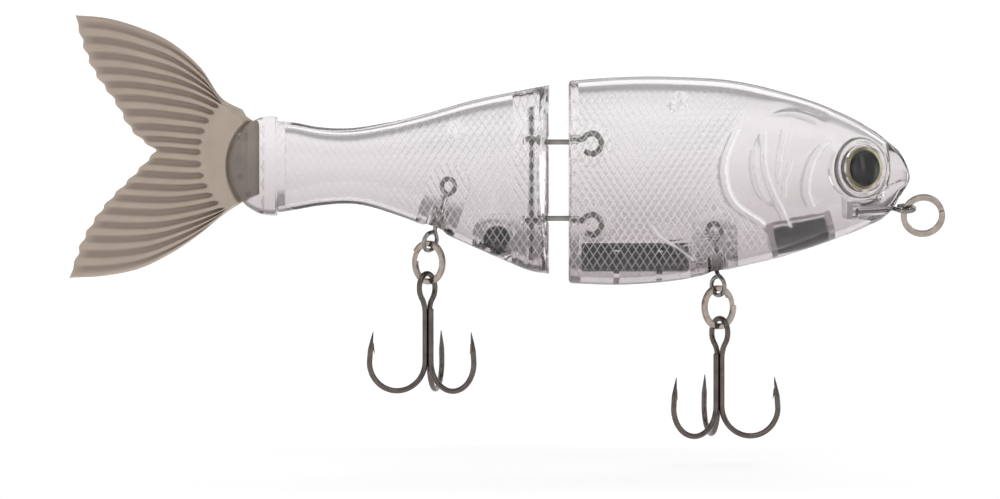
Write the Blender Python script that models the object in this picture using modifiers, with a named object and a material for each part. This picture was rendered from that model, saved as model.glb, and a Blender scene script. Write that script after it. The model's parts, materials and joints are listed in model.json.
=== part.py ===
"""Two-piece jointed swimbait: hollow clear shells, link-and-pin joint, swivel hangers, soft tail.

Frame: +X points to the nose, +Z to the back, origin at the centre of the line-tie eye.
Lengths are written in millimetres and turned into metres as each mesh is made.
"""

import math

import bmesh
import bpy
import numpy as np
from mathutils import Matrix, Vector

MM = 0.001

# Body
FRONT_BACK_X = -71.5
NOSE_X = 0.9
REAR_FACE_X = -75.5
REAR_END_X = -136.9
WALL = 1.5
SEAM = 0.1
WIDEST_SHARE = 0.55
SECTION_POWER = 2.2

# Outlines as (x, height or half-thickness); smooth curves run through the points
FRONT_TOP = [(-71.5, 27.1), (-60, 27.9), (-48, 27.9), (-36, 27.0), (-26, 24.7), (-16, 21.3),
             (-9, 17.9), (-3.5, 14.0), (-0.6, 11.0), (0.9, 7.8)]
FRONT_KEEL = [(-71.5, -15.9), (-60, -16.2), (-48, -15.2), (-36, -12.6), (-26, -10.2),
              (-16, -6.9), (-8, -3.7), (-4.6, -1.9), (-2.7, 0.0), (-1.2, 2.5), (0.9, 5.6)]
FRONT_WIDTH = [(-71.5, 10.2), (-50, 11.0), (-30, 10.7), (-20, 10.0), (-15, 9.0), (-9.5, 6.7),
               (-4.5, 4.0), (-1, 2.1), (0.9, 0.9)]
REAR_TOP = [(-136.9, 18.7), (-130, 18.3), (-124.6, 17.3), (-118.8, 17.0), (-110, 18.2),
            (-101.6, 20.2), (-92, 22.9), (-83, 24.8), (-75.5, 26.2)]
REAR_KEEL = [(-136.9, -1.4), (-130, -0.4), (-124, 0.6), (-116, 0.8), (-108, -1.4),
             (-99.7, -4.6), (-92, -8.0), (-84.5, -11.3), (-79, -13.4), (-75.5, -13.9)]
REAR_WIDTH = [(-136.9, 4.0), (-122, 4.7), (-110, 5.6), (-97, 7.3), (-85, 9.2), (-75.5, 10.0)]

# Pegs that line up the halves, as (x, z), and how far cutters reach past the seam and the flank
FRONT_PEG = (-48.2, 22.4)
REAR_PEG = (-95.2, 16.4)
PEG_BOSS = 1.9
PAST_SEAM = 0.6
PAST_FLANK = 14

# Middle joint
PIN_X = -79.2
PIN_TOP_Z = 20.2
PIN_BOTTOM_Z = -9.7
PIN_RADIUS = 0.53
LINK_HEIGHTS = (14.1, -2.1)
LINK_WIRE = 0.58
LINK_PIN_EYE = 1.33
LINK_PEG_X = -66.4
LINK_PEG_DROP = 0.8
LINK_PEG_EYE = 2.0
LINK_BOSS = 4.2
JOINT_CLEAR_ANGLE = math.radians(44)

# Swivel hangers: outer eye centre (x, z), lean of the axis, turn of the eye about it
FRONT_HANGER = ((-39.75, -16.45), math.radians(-5), math.radians(-50))
REAR_HANGER = ((-100.8, -7.0), math.radians(19.5), math.radians(50))
EYE_WIRE = 0.475
OUTER_EYE = 2.02
INNER_EYE = 1.5
INNER_EYE_HEIGHT = 12.7
HANGER_BOSS = 4.4
BARREL_HEIGHT = 5.5
BARREL_RADIUS = 1.85

# Line tie, split rings and treble hooks
TIE_WIRE = 0.5
TIE_EYE = 1.85
TIE_ROLL = math.radians(20)
RING_RADIUS = 4.05
RING_BAND = 1.3
RING_COIL = 0.48
RING_PITCH = 0.53
RING_TURNS = 1.92
RING_DROP = 2.5
NOSE_RING_DIP = math.radians(40)
HOOK_WIRE = 0.59
HOOK_EYE_WIDTH = 2.45
HOOK_EYE_HEIGHT = 3.1
HOOK_DROP = 5.4
HOOK_SHANK_END = 15.6
HOOK_BEND = 6.15
HOOK_POINT = (12.2, 9.1)
SHANK_OFFSET = 0.73

# Ballast, rattle and eyes
BELLY_SLUG = (-57.4, -10.3, 22.6, 3.0)
THROAT_SLUG = (-22.4, -5.3, 11.0, 2.3, math.radians(12))
RATTLE = (-86.1, -5.5, 2.7)
EYE_PLACE = (-9.6, 8.4)
EYE_YAW = math.radians(28)
EYE_RADIUS = 4.55
SOCKET_RADIUS = 4.9
SOCKET_CENTRE_Y = 5.3

# Tail
CHEEK_CENTRE = (-134.3, 9.0)
CHEEK_SIZE = (8.9, 10.5)
CHEEK_OUTER_Y = 4.4
SLOT_HALF = 1.7
SLOT_END_X = -136.2
TONGUE_HALF = 1.35
TONGUE_FRONT_X = -136.9
FLEX_X = -149.6
FLEX_HALF = 1.8
TAIL_OUTLINE_TOP = [(-140.6, 21.0), (-144.2, 22.8), (-149.6, 30.0), (-156.3, 35.6),
                    (-163.0, 38.6), (-170.0, 40.5), (-176.0, 41.0)]
TAIL_OUTLINE_LOW = [(-177.3, -14.7), (-170.0, -14.3), (-162.0, -12.6), (-156.2, -9.8),
                    (-149.6, -5.4), (-144.0, -0.6), (-141.3, 1.6)]
TAIL_TRAIL = [(-175.0, 36.0), (-172.2, 28.9), (-168.0, 22.8), (-164.0, 16.2), (-159.2, 12.2),
              (-164.2, 6.9), (-170.3, 0.4), (-174.9, -7.0), (-177.2, -12.8)]

FACE_AXIS = Vector((1, 0, 0))


# ---------------------------------------------------------------- helpers

def clear_scene():
    for obj in list(bpy.data.objects):
        bpy.data.objects.remove(obj, do_unlink=True)
    parts = bpy.data.collections.new("swimbait")
    cutters = bpy.data.collections.new("cutters")
    bpy.context.scene.collection.children.link(parts)
    bpy.context.scene.collection.children.link(cutters)
    return parts, cutters


PARTS, CUTTERS = clear_scene()
MATERIALS = {}


def make_material(name, colour, roughness, metallic=0.0, transmission=0.0):
    material = bpy.data.materials.new(name)
    material.use_nodes = True
    shader = material.node_tree.nodes["Principled BSDF"]
    shader.inputs["Base Color"].default_value = (*colour, 1.0)
    shader.inputs["Roughness"].default_value = roughness
    shader.inputs["Metallic"].default_value = metallic
    shader.inputs["Transmission Weight"].default_value = transmission
    MATERIALS[name] = material


def make_materials():
    make_material("clear_plastic", (0.84, 0.82, 0.84), 0.12, transmission=0.6)
    make_material("steel_wire", (0.62, 0.60, 0.58), 0.28, 1.0)
    make_material("ballast_steel", (0.24, 0.23, 0.22), 0.4, 1.0)
    make_material("black_nickel", (0.16, 0.14, 0.13), 0.3, 1.0)
    make_material("ring_steel", (0.66, 0.62, 0.56), 0.25, 1.0)
    make_material("soft_tail", (0.40, 0.34, 0.29), 0.55)
    make_material("eye_foil", (0.05, 0.05, 0.05), 0.3, 0.3)
    make_material("eye_resin", (0.85, 0.82, 0.74), 0.05, transmission=0.8)


def add_object(name, mesh, material=None, guide=False):
    obj = bpy.data.objects.new(name, mesh)
    if guide:
        CUTTERS.objects.link(obj)
        obj.hide_render = True
        obj.display_type = "WIRE"
    else:
        PARTS.objects.link(obj)
    if material:
        mesh.materials.append(MATERIALS[material])
    return obj


def mesh_from(bm, name):
    """Mesh in metres from a bmesh worked in millimetres, faces pointing out."""
    bmesh.ops.recalc_face_normals(bm, faces=bm.faces)
    bmesh.ops.scale(bm, vec=(MM, MM, MM), verts=bm.verts)
    mesh = bpy.data.meshes.new(name)
    bm.to_mesh(mesh)
    bm.free()
    return mesh


def loft(name, rings):
    """Closed skin over rings of points, with a flat cap at each end."""
    bm = bmesh.new()
    rows = [[bm.verts.new(point) for point in ring] for ring in rings]
    count = len(rows[0])
    for row, following in zip(rows, rows[1:]):
        for i in range(count):
            j = (i + 1) % count
            bm.faces.new((row[i], row[j], following[j], following[i]))
    bm.faces.new(rows[0])
    bm.faces.new(rows[-1])
    bmesh.ops.triangulate(bm, faces=bm.faces)
    return mesh_from(bm, name)


def box(name, low, high):
    bm = bmesh.new()
    bmesh.ops.create_cube(bm, size=1)
    size = [b - a for a, b in zip(low, high)]
    centre = [(a + b) / 2 for a, b in zip(low, high)]
    bmesh.ops.scale(bm, vec=size, verts=bm.verts)
    bmesh.ops.translate(bm, vec=centre, verts=bm.verts)
    return mesh_from(bm, name)


def cylinder(name, start, end, radius, sides=24, stretch=(1, 1, 1)):
    """Cylinder between two points; stretch scales it about its middle."""
    start, end = Vector(start), Vector(end)
    bm = bmesh.new()
    bmesh.ops.create_cone(bm, cap_ends=True, segments=sides, radius1=radius, radius2=radius,
                          depth=(end - start).length)
    turn = (end - start).to_track_quat("Z", "Y").to_matrix().to_4x4()
    bmesh.ops.transform(bm, matrix=turn, verts=bm.verts)
    bmesh.ops.scale(bm, vec=stretch, verts=bm.verts)
    bmesh.ops.translate(bm, vec=(start + end) / 2, verts=bm.verts)
    return mesh_from(bm, name)


def prism(name, outline, low, high, axis="Y"):
    """Flat outline pushed along Y (outline in x, z) or along Z (outline in x, y)."""
    if axis == "Y":
        rings = [[(x, level, z) for x, z in outline] for level in (low, high)]
    else:
        rings = [[(x, y, level) for x, y in outline] for level in (low, high)]
    return loft(name, rings)


def turned(name, profile, sides, frame=None, material=None, guide=False):
    """Turned solid from a closed (radius, height) profile that runs down the outer side."""
    mesh = bpy.data.meshes.new(name)
    points = [(radius * MM, 0, height * MM) for radius, height in profile]
    edges = [(i, i + 1) for i in range(len(points) - 1)]
    if profile[0][0] > 0:
        edges.append((len(points) - 1, 0))
    mesh.from_pydata(points, edges, [])
    obj = add_object(name, mesh, material, guide)
    screw = obj.modifiers.new("turn", "SCREW")
    screw.steps = sides
    screw.render_steps = sides
    screw.use_merge_vertices = True
    screw.merge_threshold = 0.00001
    if frame:
        obj.matrix_world = frame
    return obj


def wire(name, points, radius, material, sizes=None, resolution=1):
    """Round wire through points; sizes scales the radius at each point."""
    curve = bpy.data.curves.new(name, "CURVE")
    curve.dimensions = "3D"
    curve.bevel_depth = radius * MM
    curve.bevel_resolution = resolution
    curve.use_fill_caps = True
    spline = curve.splines.new("POLY")
    spline.points.add(len(points) - 1)
    for i, point in enumerate(points):
        spline.points[i].co = (*(Vector(point) * MM), 1)
        spline.points[i].radius = sizes[i] if sizes else 1
    curve.materials.append(MATERIALS[material])
    obj = bpy.data.objects.new(name, curve)
    PARTS.objects.link(obj)
    return obj


def combine(target, tool, operation):
    modifier = target.modifiers.new(tool.name, "BOOLEAN")
    modifier.operation = operation
    modifier.solver = "EXACT"
    modifier.object = tool


def guide(mesh):
    return add_object(mesh.name, mesh, guide=True)


def cut(target, mesh):
    combine(target, guide(mesh), "DIFFERENCE")


def close_slivers(obj):
    """Merge points that Booleans leave almost on top of each other, and faces in one plane."""
    weld = obj.modifiers.new("weld", "WELD")
    weld.merge_threshold = 0.00001
    flat = obj.modifiers.new("flat", "DECIMATE")
    flat.decimate_type = "DISSOLVE"
    flat.angle_limit = math.radians(0.3)
    even = obj.modifiers.new("even", "TRIANGULATE")
    even.ngon_method = "BEAUTY"


def smooth_shade(obj):
    if obj.type == "MESH":
        obj.data.shade_smooth()
        obj.data.set_sharp_from_angle(angle=math.radians(35))


def hang(obj, pivot, parent=None):
    """Move an object's origin to its joint, keeping its shape where it is."""
    place = Vector(pivot) * MM
    shift = Matrix.Translation(-place) @ obj.matrix_world
    obj.data.transform(shift)
    obj.matrix_world = Matrix.Translation(place)
    if parent:
        obj.parent = parent
        obj.matrix_parent_inverse = parent.matrix_world.inverted()


def pivot_empty(name, place, parent=None):
    empty = bpy.data.objects.new(name, None)
    empty.empty_display_size = 0.005
    PARTS.objects.link(empty)
    empty.location = Vector(place) * MM
    bpy.context.view_layer.update()
    if parent:
        empty.parent = parent
        empty.matrix_parent_inverse = parent.matrix_world.inverted()
        bpy.context.view_layer.update()
    return empty


def follow(points, x):
    """Height at x of the smooth curve through the outline points."""
    xs = np.array([p[0] for p in points], dtype=float)
    ys = np.array([p[1] for p in points], dtype=float)
    slopes = np.gradient(ys, xs)
    i = int(np.clip(np.searchsorted(xs, x) - 1, 0, len(xs) - 2))
    span = xs[i + 1] - xs[i]
    t = (x - xs[i]) / span
    value = (2 * t**3 - 3 * t**2 + 1) * ys[i] + (t**3 - 2 * t**2 + t) * span * slopes[i]
    value += (3 * t**2 - 2 * t**3) * ys[i + 1] + (t**3 - t**2) * span * slopes[i + 1]
    return float(value)


def circle(centre, across, up, radius, start, end, count):
    """Points on an arc in the plane of two unit vectors, angles in degrees."""
    points = []
    for i in range(count):
        angle = math.radians(start + (end - start) * i / (count - 1))
        points.append(centre + across * radius * math.cos(angle) + up * radius * math.sin(angle))
    return points


# ---------------------------------------------------------------- shells

def half_section(x, outlines, inset, inner_y, side, count):
    """Outline of one half of the body at x: keel, flank, back, then straight down the seam."""
    top = follow(outlines[0], x) - inset
    keel = follow(outlines[1], x) + inset
    width = follow(outlines[2], x) - inset
    middle = keel + WIDEST_SHARE * (top - keel)
    power = 2 / SECTION_POWER
    ring = []
    for i in range(count):
        angle = math.pi * (i / (count - 1) - 0.5)
        reach = top - middle if angle > 0 else middle - keel
        y = inner_y + (width - inner_y) * abs(math.cos(angle)) ** power
        z = middle + reach * math.copysign(abs(math.sin(angle)) ** power, angle)
        ring.append((x, side * y, z))
    return ring


def half_loft(name, stations, outlines, inset, inner_y, side, count):
    rings = [half_section(x, outlines, inset, inner_y, side, count) for x in stations]
    return loft(name, rings)


def spread(start, end, count, crowd=1.0):
    """Stations from start to end, crowded towards the end when crowd is above 1."""
    return [start + (end - start) * (1 - (1 - i / (count - 1)) ** crowd) for i in range(count)]


def hanger_frame(hanger):
    """Outer eye centre, unit axis towards the body, and the eye's unit vector across."""
    (x, z), lean, turn = hanger
    axis = Vector((math.sin(lean), 0, math.cos(lean)))
    side = Vector((math.cos(lean), 0, -math.sin(lean)))
    across = side * math.cos(turn) + Vector((0, 1, 0)) * math.sin(turn)
    return Vector((x, 0, z)), axis, across


def across_half(side):
    """Low and high y of a cutter that spans one half of the body and a little past the seam."""
    return sorted((-side * PAST_SEAM, side * PAST_FLANK))


def hanger_boss(name, hanger, side):
    """Solid plastic round a hanger, from its inner eye down to its mouth."""
    centre, axis, _ = hanger_frame(hanger)
    inner = centre + axis * INNER_EYE_HEIGHT
    flat = Vector((axis.z, 0, -axis.x))
    outline = []
    for end, start_angle in ((inner, 0), (centre, 180)):
        for point in circle(end, flat, axis, HANGER_BOSS, start_angle, start_angle + 180, 8):
            outline.append((point.x, point.z))
    return prism(name, outline, *across_half(side))


def hanger_pockets(name, hanger):
    """Room for the inner loop round its peg, the barrel, and the mouth for the outer eye."""
    centre, axis, _ = hanger_frame(hanger)
    inner = centre + axis * INNER_EYE_HEIGHT
    frame = Matrix.Translation(inner * MM) @ Matrix.Rotation(-math.pi / 2, 4, "X")
    loop = [(2.4, 0.8), (2.4, -0.8), (0.75, -0.8), (0.75, 0.8)]
    ring = turned(name + "_loop", loop, 14, frame, guide=True)
    turn = axis.to_track_quat("Z", "Y").to_matrix().to_4x4()
    frame = Matrix.Translation(centre * MM) @ turn
    room = [(0, INNER_EYE_HEIGHT - 1.2), (0.9, INNER_EYE_HEIGHT - 1.2), (0.9, 7.9), (2.2, 7.9),
            (2.2, 3.4), (3.0, 3.2), (3.0, -4), (0, -4)]
    stem = turned(name + "_stem", room, 14, frame, guide=True)
    return [ring, stem]


def peg_boss(name, place, side):
    """Boss for the peg that lines up the two halves."""
    x, z = place
    near, far = across_half(side)
    return cylinder(name, (x, near, z), (x, far, z), PEG_BOSS, 16)


def front_cavity(side, label):
    outlines = (FRONT_TOP, FRONT_KEEL, FRONT_WIDTH)
    stations = spread(FRONT_BACK_X + 2.1, -5.0, 11, 1.3)
    mesh = half_loft("front_cavity_" + label, stations, outlines, WALL, -0.5, side, 10)
    cavity = guide(mesh)
    near, far = across_half(side)
    for i, height in enumerate(LINK_HEIGHTS):
        z = height - LINK_PEG_DROP
        cut(cavity, cylinder(f"link_boss_{i}_{label}", (LINK_PEG_X, near, z),
                             (LINK_PEG_X, far, z), LINK_BOSS, 16))
    cut(cavity, hanger_boss("front_hanger_boss_" + label, FRONT_HANGER, side))
    x, z, length, _ = BELLY_SLUG
    for i, station in enumerate((x - length / 2 - 0.8, x - 4, x + 5, x + length / 2 + 0.9)):
        cut(cavity, box(f"belly_rib_{i}_{label}", (station - 0.6, near, z - 8),
                        (station + 0.6, far, z + 2.2)))
    x, z, length, _, tilt = THROAT_SLUG
    along = Vector((math.cos(tilt), 0, math.sin(tilt))) * (length / 2 + 1.4)
    centre = Vector((x, 0, z))
    cut(cavity, cylinder("throat_boss_" + label, centre - along, centre + along, 3.6, 14))
    cut(cavity, box("tie_boss_" + label, (-13.2, near, -2.0), (-4, far, 2.6)))
    cut(cavity, peg_boss("front_peg_boss_" + label, FRONT_PEG, side))
    outward = Vector((math.sin(EYE_YAW), side * math.cos(EYE_YAW), 0))
    floor = Vector((EYE_PLACE[0], side * SOCKET_CENTRE_Y, EYE_PLACE[1]))
    cut(cavity, cylinder("socket_boss_" + label, floor - outward * 1.4, floor + outward * 8,
                         SOCKET_RADIUS + 1.4, 16))
    return cavity


def front_shell(side, label):
    outlines = (FRONT_TOP, FRONT_KEEL, FRONT_WIDTH)
    stations = spread(FRONT_BACK_X, NOSE_X, 19, 1.5)
    mesh = half_loft("front_shell_" + label, stations, outlines, 0, SEAM, side, 13)
    shell = add_object("front_shell_" + label, mesh, "clear_plastic")
    combine(shell, front_cavity(side, label), "DIFFERENCE")
    for i, height in enumerate(LINK_HEIGHTS):
        z = height - LINK_PEG_DROP
        frame = Matrix.Translation(Vector((LINK_PEG_X, 0, z)) * MM)
        frame = frame @ Matrix.Rotation(-math.pi / 2, 4, "X")
        loop = [(3.0, 0.95), (3.0, -0.95), (1.1, -0.95), (1.1, 0.95)]
        combine(shell, turned(f"link_room_{i}_{label}", loop, 14, frame, guide=True),
                "DIFFERENCE")
        cut(shell, cylinder(f"link_hole_{i}_{label}", (LINK_PEG_X - 0.5, 0, height),
                            (FRONT_BACK_X - 2, 0, height), 0.95, 12))
    for pocket in hanger_pockets("front_hanger_room_" + label, FRONT_HANGER):
        combine(shell, pocket, "DIFFERENCE")
    x, z, length, radius = BELLY_SLUG
    gap = 0.2
    cut(shell, cylinder("belly_room_" + label, (x - length / 2 - gap, 0, z),
                        (x + length / 2 + gap, 0, z), radius + gap, 16))
    x, z, length, radius, tilt = THROAT_SLUG
    along = Vector((math.cos(tilt), 0, math.sin(tilt))) * (length / 2 + gap)
    centre = Vector((x, 0, z))
    cut(shell, cylinder("throat_room_" + label, centre - along, centre + along, radius + gap, 16))
    cut(shell, cylinder("tie_hole_" + label, (-12.2, 0, 0), (4, 0, 0), 0.8, 12))
    cut(shell, cylinder("tie_head_room_" + label, (-12.2, 0, 0), (-10.6, 0, 0), 1.5, 12))
    outward = Vector((math.sin(EYE_YAW), side * math.cos(EYE_YAW), 0))
    floor = Vector((EYE_PLACE[0], side * SOCKET_CENTRE_Y, EYE_PLACE[1]))
    cut(shell, cylinder("socket_" + label, floor, floor + outward * 8, SOCKET_RADIUS, 24))
    add_peg(shell, FRONT_PEG, side, label, "front")
    close_slivers(shell)
    return shell


def add_peg(shell, place, side, label, section):
    """Peg on the right half, hole in the left half."""
    x, z = place
    if side < 0:
        peg = cylinder(f"{section}_peg_{label}", (x, -2.4, z), (x, 1.4, z), 0.85, 10)
        combine(shell, guide(peg), "UNION")
    else:
        cut(shell, cylinder(f"{section}_peg_hole_{label}", (x, -1, z), (x, 1.8, z), 1.1, 12))


def plan_of_rear():
    """Plan of the rear section with its front face rounded so that it can swing."""
    face = []
    for i in range(9):
        y = -10.5 + 21 * i / 8
        face.append((REAR_FACE_X - 2.2 * (y / 9.8) ** 2, y))
    return [(-140, 12), (-140, -12)] + face


def rattle_outline(radius, reach):
    x, z, _ = RATTLE
    right = circle(Vector((x + reach, z)), Vector((1, 0)), Vector((0, 1)), radius, -90, 90, 7)
    left = circle(Vector((x - reach, z)), Vector((1, 0)), Vector((0, 1)), radius, 90, 270, 7)
    return [tuple(point) for point in right + left]


def rear_cavity(side, label):
    outlines = (REAR_TOP, REAR_KEEL, REAR_WIDTH)
    stations = spread(PIN_X - 4.0, -131.5, 9)
    cavity = guide(half_loft("rear_cavity_" + label, stations, outlines, WALL, -0.5, side, 10))
    near, far = across_half(side)
    cut(cavity, hanger_boss("rear_hanger_boss_" + label, REAR_HANGER, side))
    cut(cavity, prism("rattle_boss_" + label, rattle_outline(4.5, 1.0), near, far))
    cut(cavity, peg_boss("rear_peg_boss_" + label, REAR_PEG, side))
    return cavity


def cheek(name, side):
    """Rounded fan-shaped plate at the end of the body, with its outer edge eased."""
    rings = []
    for y, share in ((1.0, 1.0), (3.1, 1.0), (4.0, 0.94), (CHEEK_OUTER_Y, 0.84)):
        ring = []
        for i in range(28):
            angle = 2 * math.pi * (i + 0.5) / 28
            ring.append((CHEEK_CENTRE[0] + CHEEK_SIZE[0] * share * math.cos(angle), side * y,
                         CHEEK_CENTRE[1] + CHEEK_SIZE[1] * share * math.sin(angle)))
        rings.append(ring)
    return loft(name, rings)


def rear_shell(side, label):
    outlines = (REAR_TOP, REAR_KEEL, REAR_WIDTH)
    stations = spread(REAR_FACE_X + 0.2, REAR_END_X, 14)
    mesh = half_loft("rear_shell_" + label, stations, outlines, 0, SEAM, side, 13)
    shell = add_object("rear_shell_" + label, mesh, "clear_plastic")
    combine(shell, guide(prism("rear_plan_" + label, plan_of_rear(), -20, 30, "Z")), "INTERSECT")
    combine(shell, rear_cavity(side, label), "DIFFERENCE")
    cheek_form = guide(cheek("cheek_" + label, side))
    cut(cheek_form, box("cheek_trim_" + label, (-133.4, -20, -20), (-100, 20, 40)))
    combine(shell, cheek_form, "UNION")
    cut(shell, box("tail_slot_" + label, (-150, -SLOT_HALF, -8), (SLOT_END_X, SLOT_HALF, 28)))
    cut(shell, cylinder("pin_bore_" + label, (PIN_X, 0, PIN_BOTTOM_Z - 0.2),
                        (PIN_X, 0, PIN_TOP_Z + 0.2), PIN_RADIUS + 0.2, 10))
    for i, height in enumerate(LINK_HEIGHTS):
        cut(shell, prism(f"link_slot_{i}_{label}", link_slot_plan(), height - 0.95,
                         height + 0.95, "Z"))
    for pocket in hanger_pockets("rear_hanger_room_" + label, REAR_HANGER):
        combine(shell, pocket, "DIFFERENCE")
    cut(shell, prism("rattle_room_" + label, rattle_outline(3.1, 1.0), -3.4, 3.4))
    add_peg(shell, REAR_PEG, side, label, "rear")
    close_slivers(shell)
    return shell


def link_slot_plan():
    """Slot round the link's eye, fanning out to the front so that the joint can swing."""
    arc = circle(Vector((PIN_X, 0)), Vector((1, 0)), Vector((0, 1)), 2.3,
                 60, 300, 13)
    reach = 6.0
    spread_y = 1.0 + reach * math.tan(JOINT_CLEAR_ANGLE)
    return [(PIN_X + reach, spread_y)] + [tuple(p) for p in arc] + [(PIN_X + reach, -spread_y)]


# ---------------------------------------------------------------- hardware

def hinge_pin(parent):
    mesh = cylinder("hinge_pin", (PIN_X, 0, PIN_BOTTOM_Z), (PIN_X, 0, PIN_TOP_Z), PIN_RADIUS, 12)
    pin = add_object("hinge_pin", mesh, "steel_wire")
    hang(pin, (PIN_X, 0, 0), parent)
    return pin


def joint_link(name, height):
    """Wire with a flat eye round the pin and an upright eye round the front peg."""
    level = Vector((0, 0, height))
    across, along = Vector((0, 1, 0)), Vector((1, 0, 0))
    points = circle(level + Vector((PIN_X, 0, 0)), along, across, LINK_PIN_EYE, 62, 360, 16)
    start = points[-1]
    points += [start + along * 1.2]
    lift = math.degrees(math.asin(LINK_PEG_DROP / LINK_PEG_EYE))
    centre = level + Vector((LINK_PEG_X, 0, -LINK_PEG_DROP))
    points += circle(centre, along, Vector((0, 0, 1)), LINK_PEG_EYE, 180 - lift, -130, 16)
    return wire(name, points, LINK_WIRE, "steel_wire")


def eye_with_shank(centre, axis, across, radius, shank_end, head):
    """Loop round the centre with a shank along the axis, ending in a riveted head."""
    loop = circle(centre, across, axis, radius, 50, 50 - 320, 18)
    loop.reverse()
    turn = centre + axis * (radius + 0.55)
    points = loop + [turn, centre + axis * (shank_end - 0.3), centre + axis * (shank_end - 0.29),
                     centre + axis * shank_end]
    sizes = [1] * (len(loop) + 2) + [head, head]
    return points, sizes


def swivel(name, hanger, body_parent, swivel_parent):
    centre, axis, across = hanger_frame(hanger)
    inner = centre + axis * INNER_EYE_HEIGHT
    flat = Vector((axis.z, 0, -axis.x))
    points, sizes = eye_with_shank(inner, -axis, flat, INNER_EYE, 6.0, 2.1)
    wire_obj = wire(name + "_inner_eye", points, EYE_WIRE, "steel_wire", sizes)
    hang(wire_obj, inner, body_parent)
    turn = axis.to_track_quat("Z", "Y").to_matrix().to_4x4()
    frame = Matrix.Translation((centre + axis * BARREL_HEIGHT) * MM) @ turn
    profile = [(0.75, 2.1), (1.2, 2.1), (BARREL_RADIUS, 1.3), (BARREL_RADIUS, -1.3), (1.2, -2.0),
               (0.75, -2.0), (0.75, -1.4), (1.35, -1.2), (1.35, 1.5), (0.75, 1.7)]
    barrel = turned(name + "_barrel", profile, 14, frame, "steel_wire")
    smooth_shade(barrel)
    if body_parent:
        barrel.parent = body_parent
        barrel.matrix_parent_inverse = body_parent.matrix_world.inverted()
    points, sizes = eye_with_shank(centre, axis, across, OUTER_EYE, 4.7, 2.1)
    outer = wire(name + "_eye", points, EYE_WIRE, "steel_wire", sizes)
    hang(outer, centre, swivel_parent)


def split_ring(name, centre, normal, up, parent, pivot):
    """Flattened wire wound into nearly two turns."""
    across = up.cross(normal).normalized()
    steps = 52
    half = RING_BAND / 2
    rings = []
    for i in range(steps + 1):
        turn = i / steps * RING_TURNS
        angle = 2 * math.pi * turn + 0.6
        outward = across * math.cos(angle) + up * math.sin(angle)
        shift = normal * ((turn - RING_TURNS / 2) * RING_PITCH)
        ring = []
        for radial, axial in ((-1, -1), (1, -1), (1, 1), (-1, 1)):
            point = centre + outward * (RING_RADIUS + radial * half) + shift
            ring.append(point + normal * (axial * RING_COIL / 2))
        rings.append(ring)
    obj = add_object(name, loft(name, rings), "ring_steel")
    smooth_shade(obj)
    hang(obj, pivot, parent)
    return obj


def hook_side(top, outward, up):
    """Shank, round bend and point of one hook, from the shank's top down."""
    start = outward * SHANK_OFFSET
    points = [start + up * top, start - up * HOOK_SHANK_END]
    centre = outward * (SHANK_OFFSET + HOOK_BEND) - up * HOOK_SHANK_END
    points += circle(centre, outward, -up, HOOK_BEND, 180, 0, 13)[1:]
    reach, depth = HOOK_POINT
    bend_end = points[-1]
    tip = outward * reach - up * depth
    points += [bend_end.lerp(tip, 0.5) + outward * 0.15, bend_end.lerp(tip, 0.75), tip]
    return points, [1] * (len(points) - 2) + [0.75, 0.12]


def treble(name, eye_centre, across, parent, pivot):
    """A bent double hook that carries the eye, and a single hook lying along its shanks."""
    up = Vector((0, 0, 1))
    normal = across.cross(up)
    left = across * -math.cos(math.radians(30)) - normal * 0.5
    right = across * math.cos(math.radians(30)) - normal * 0.5
    back = normal * (-0.5 * SHANK_OFFSET)
    loop = []
    for i in range(15):
        angle = math.radians(-60 + 300 * i / 14)
        loop.append(back + across * HOOK_EYE_WIDTH * math.cos(angle)
                    + up * HOOK_EYE_HEIGHT * math.sin(angle))
    first, first_sizes = hook_side(-3.9, left, up)
    second, second_sizes = hook_side(-3.9, right, up)
    points = list(reversed(first)) + list(reversed(loop)) + second
    sizes = list(reversed(first_sizes)) + [1] * len(loop) + second_sizes
    double = wire(name + "_double", [eye_centre + p for p in points], HOOK_WIRE, "black_nickel",
                  sizes)
    points, sizes = hook_side(-4.6, normal, up)
    single = wire(name + "_single", [eye_centre + p for p in points], HOOK_WIRE, "black_nickel",
                  sizes)
    for obj in (double, single):
        hang(obj, pivot, parent)


def hook_chain(name, hanger, swivel_parent):
    """Split ring and treble hanging straight down from the hanger's outer eye."""
    centre, axis, across = hanger_frame(hanger)
    normal = across.cross(axis).normalized()
    down = Vector((0, 0, -1))
    lowest = (down - normal * down.dot(normal)).normalized()
    tangent = normal.cross(lowest).normalized()
    rest_point = centre + lowest * OUTER_EYE
    ring_centre = rest_point + down * RING_DROP
    ring_pivot = pivot_empty(name + "_ring_pivot", rest_point, swivel_parent)
    split_ring(name + "_ring", ring_centre, tangent, Vector((0, 0, 1)), ring_pivot, rest_point)
    hook_point = ring_centre + down * RING_RADIUS
    hook_pivot = pivot_empty(name + "_treble_pivot", hook_point, ring_pivot)
    treble(name + "_treble", ring_centre + down * HOOK_DROP, tangent, hook_pivot, hook_point)


def tie_across():
    """Unit vector across the line-tie eye, rolled a little about the lure's length."""
    return Vector((0, math.cos(TIE_ROLL), math.sin(TIE_ROLL)))


def line_tie():
    """Eye at the nose with a headed stem running back into the body."""
    stem = [Vector((x, 0, 0)) for x in (-11.6, -10.91, -10.9, -TIE_EYE - 0.7)]
    loop = circle(Vector((0, 0, 0)), FACE_AXIS, tie_across(), TIE_EYE, -140, 135, 18)
    sizes = [2.1, 2.1, 1, 1] + [1] * len(loop)
    obj = wire("line_tie_eye", stem + loop, TIE_WIRE, "steel_wire", sizes)
    hang(obj, (0, 0, 0))


def nose_ring():
    place = Vector((TIE_EYE, 0, 0))
    across = tie_across()
    under = FACE_AXIS.cross(across)
    out = FACE_AXIS * math.cos(NOSE_RING_DIP) - under * math.sin(NOSE_RING_DIP)
    pivot = pivot_empty("nose_ring_pivot", place)
    split_ring("nose_ring", place + out * RING_DROP, across, out, pivot, place)


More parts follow.
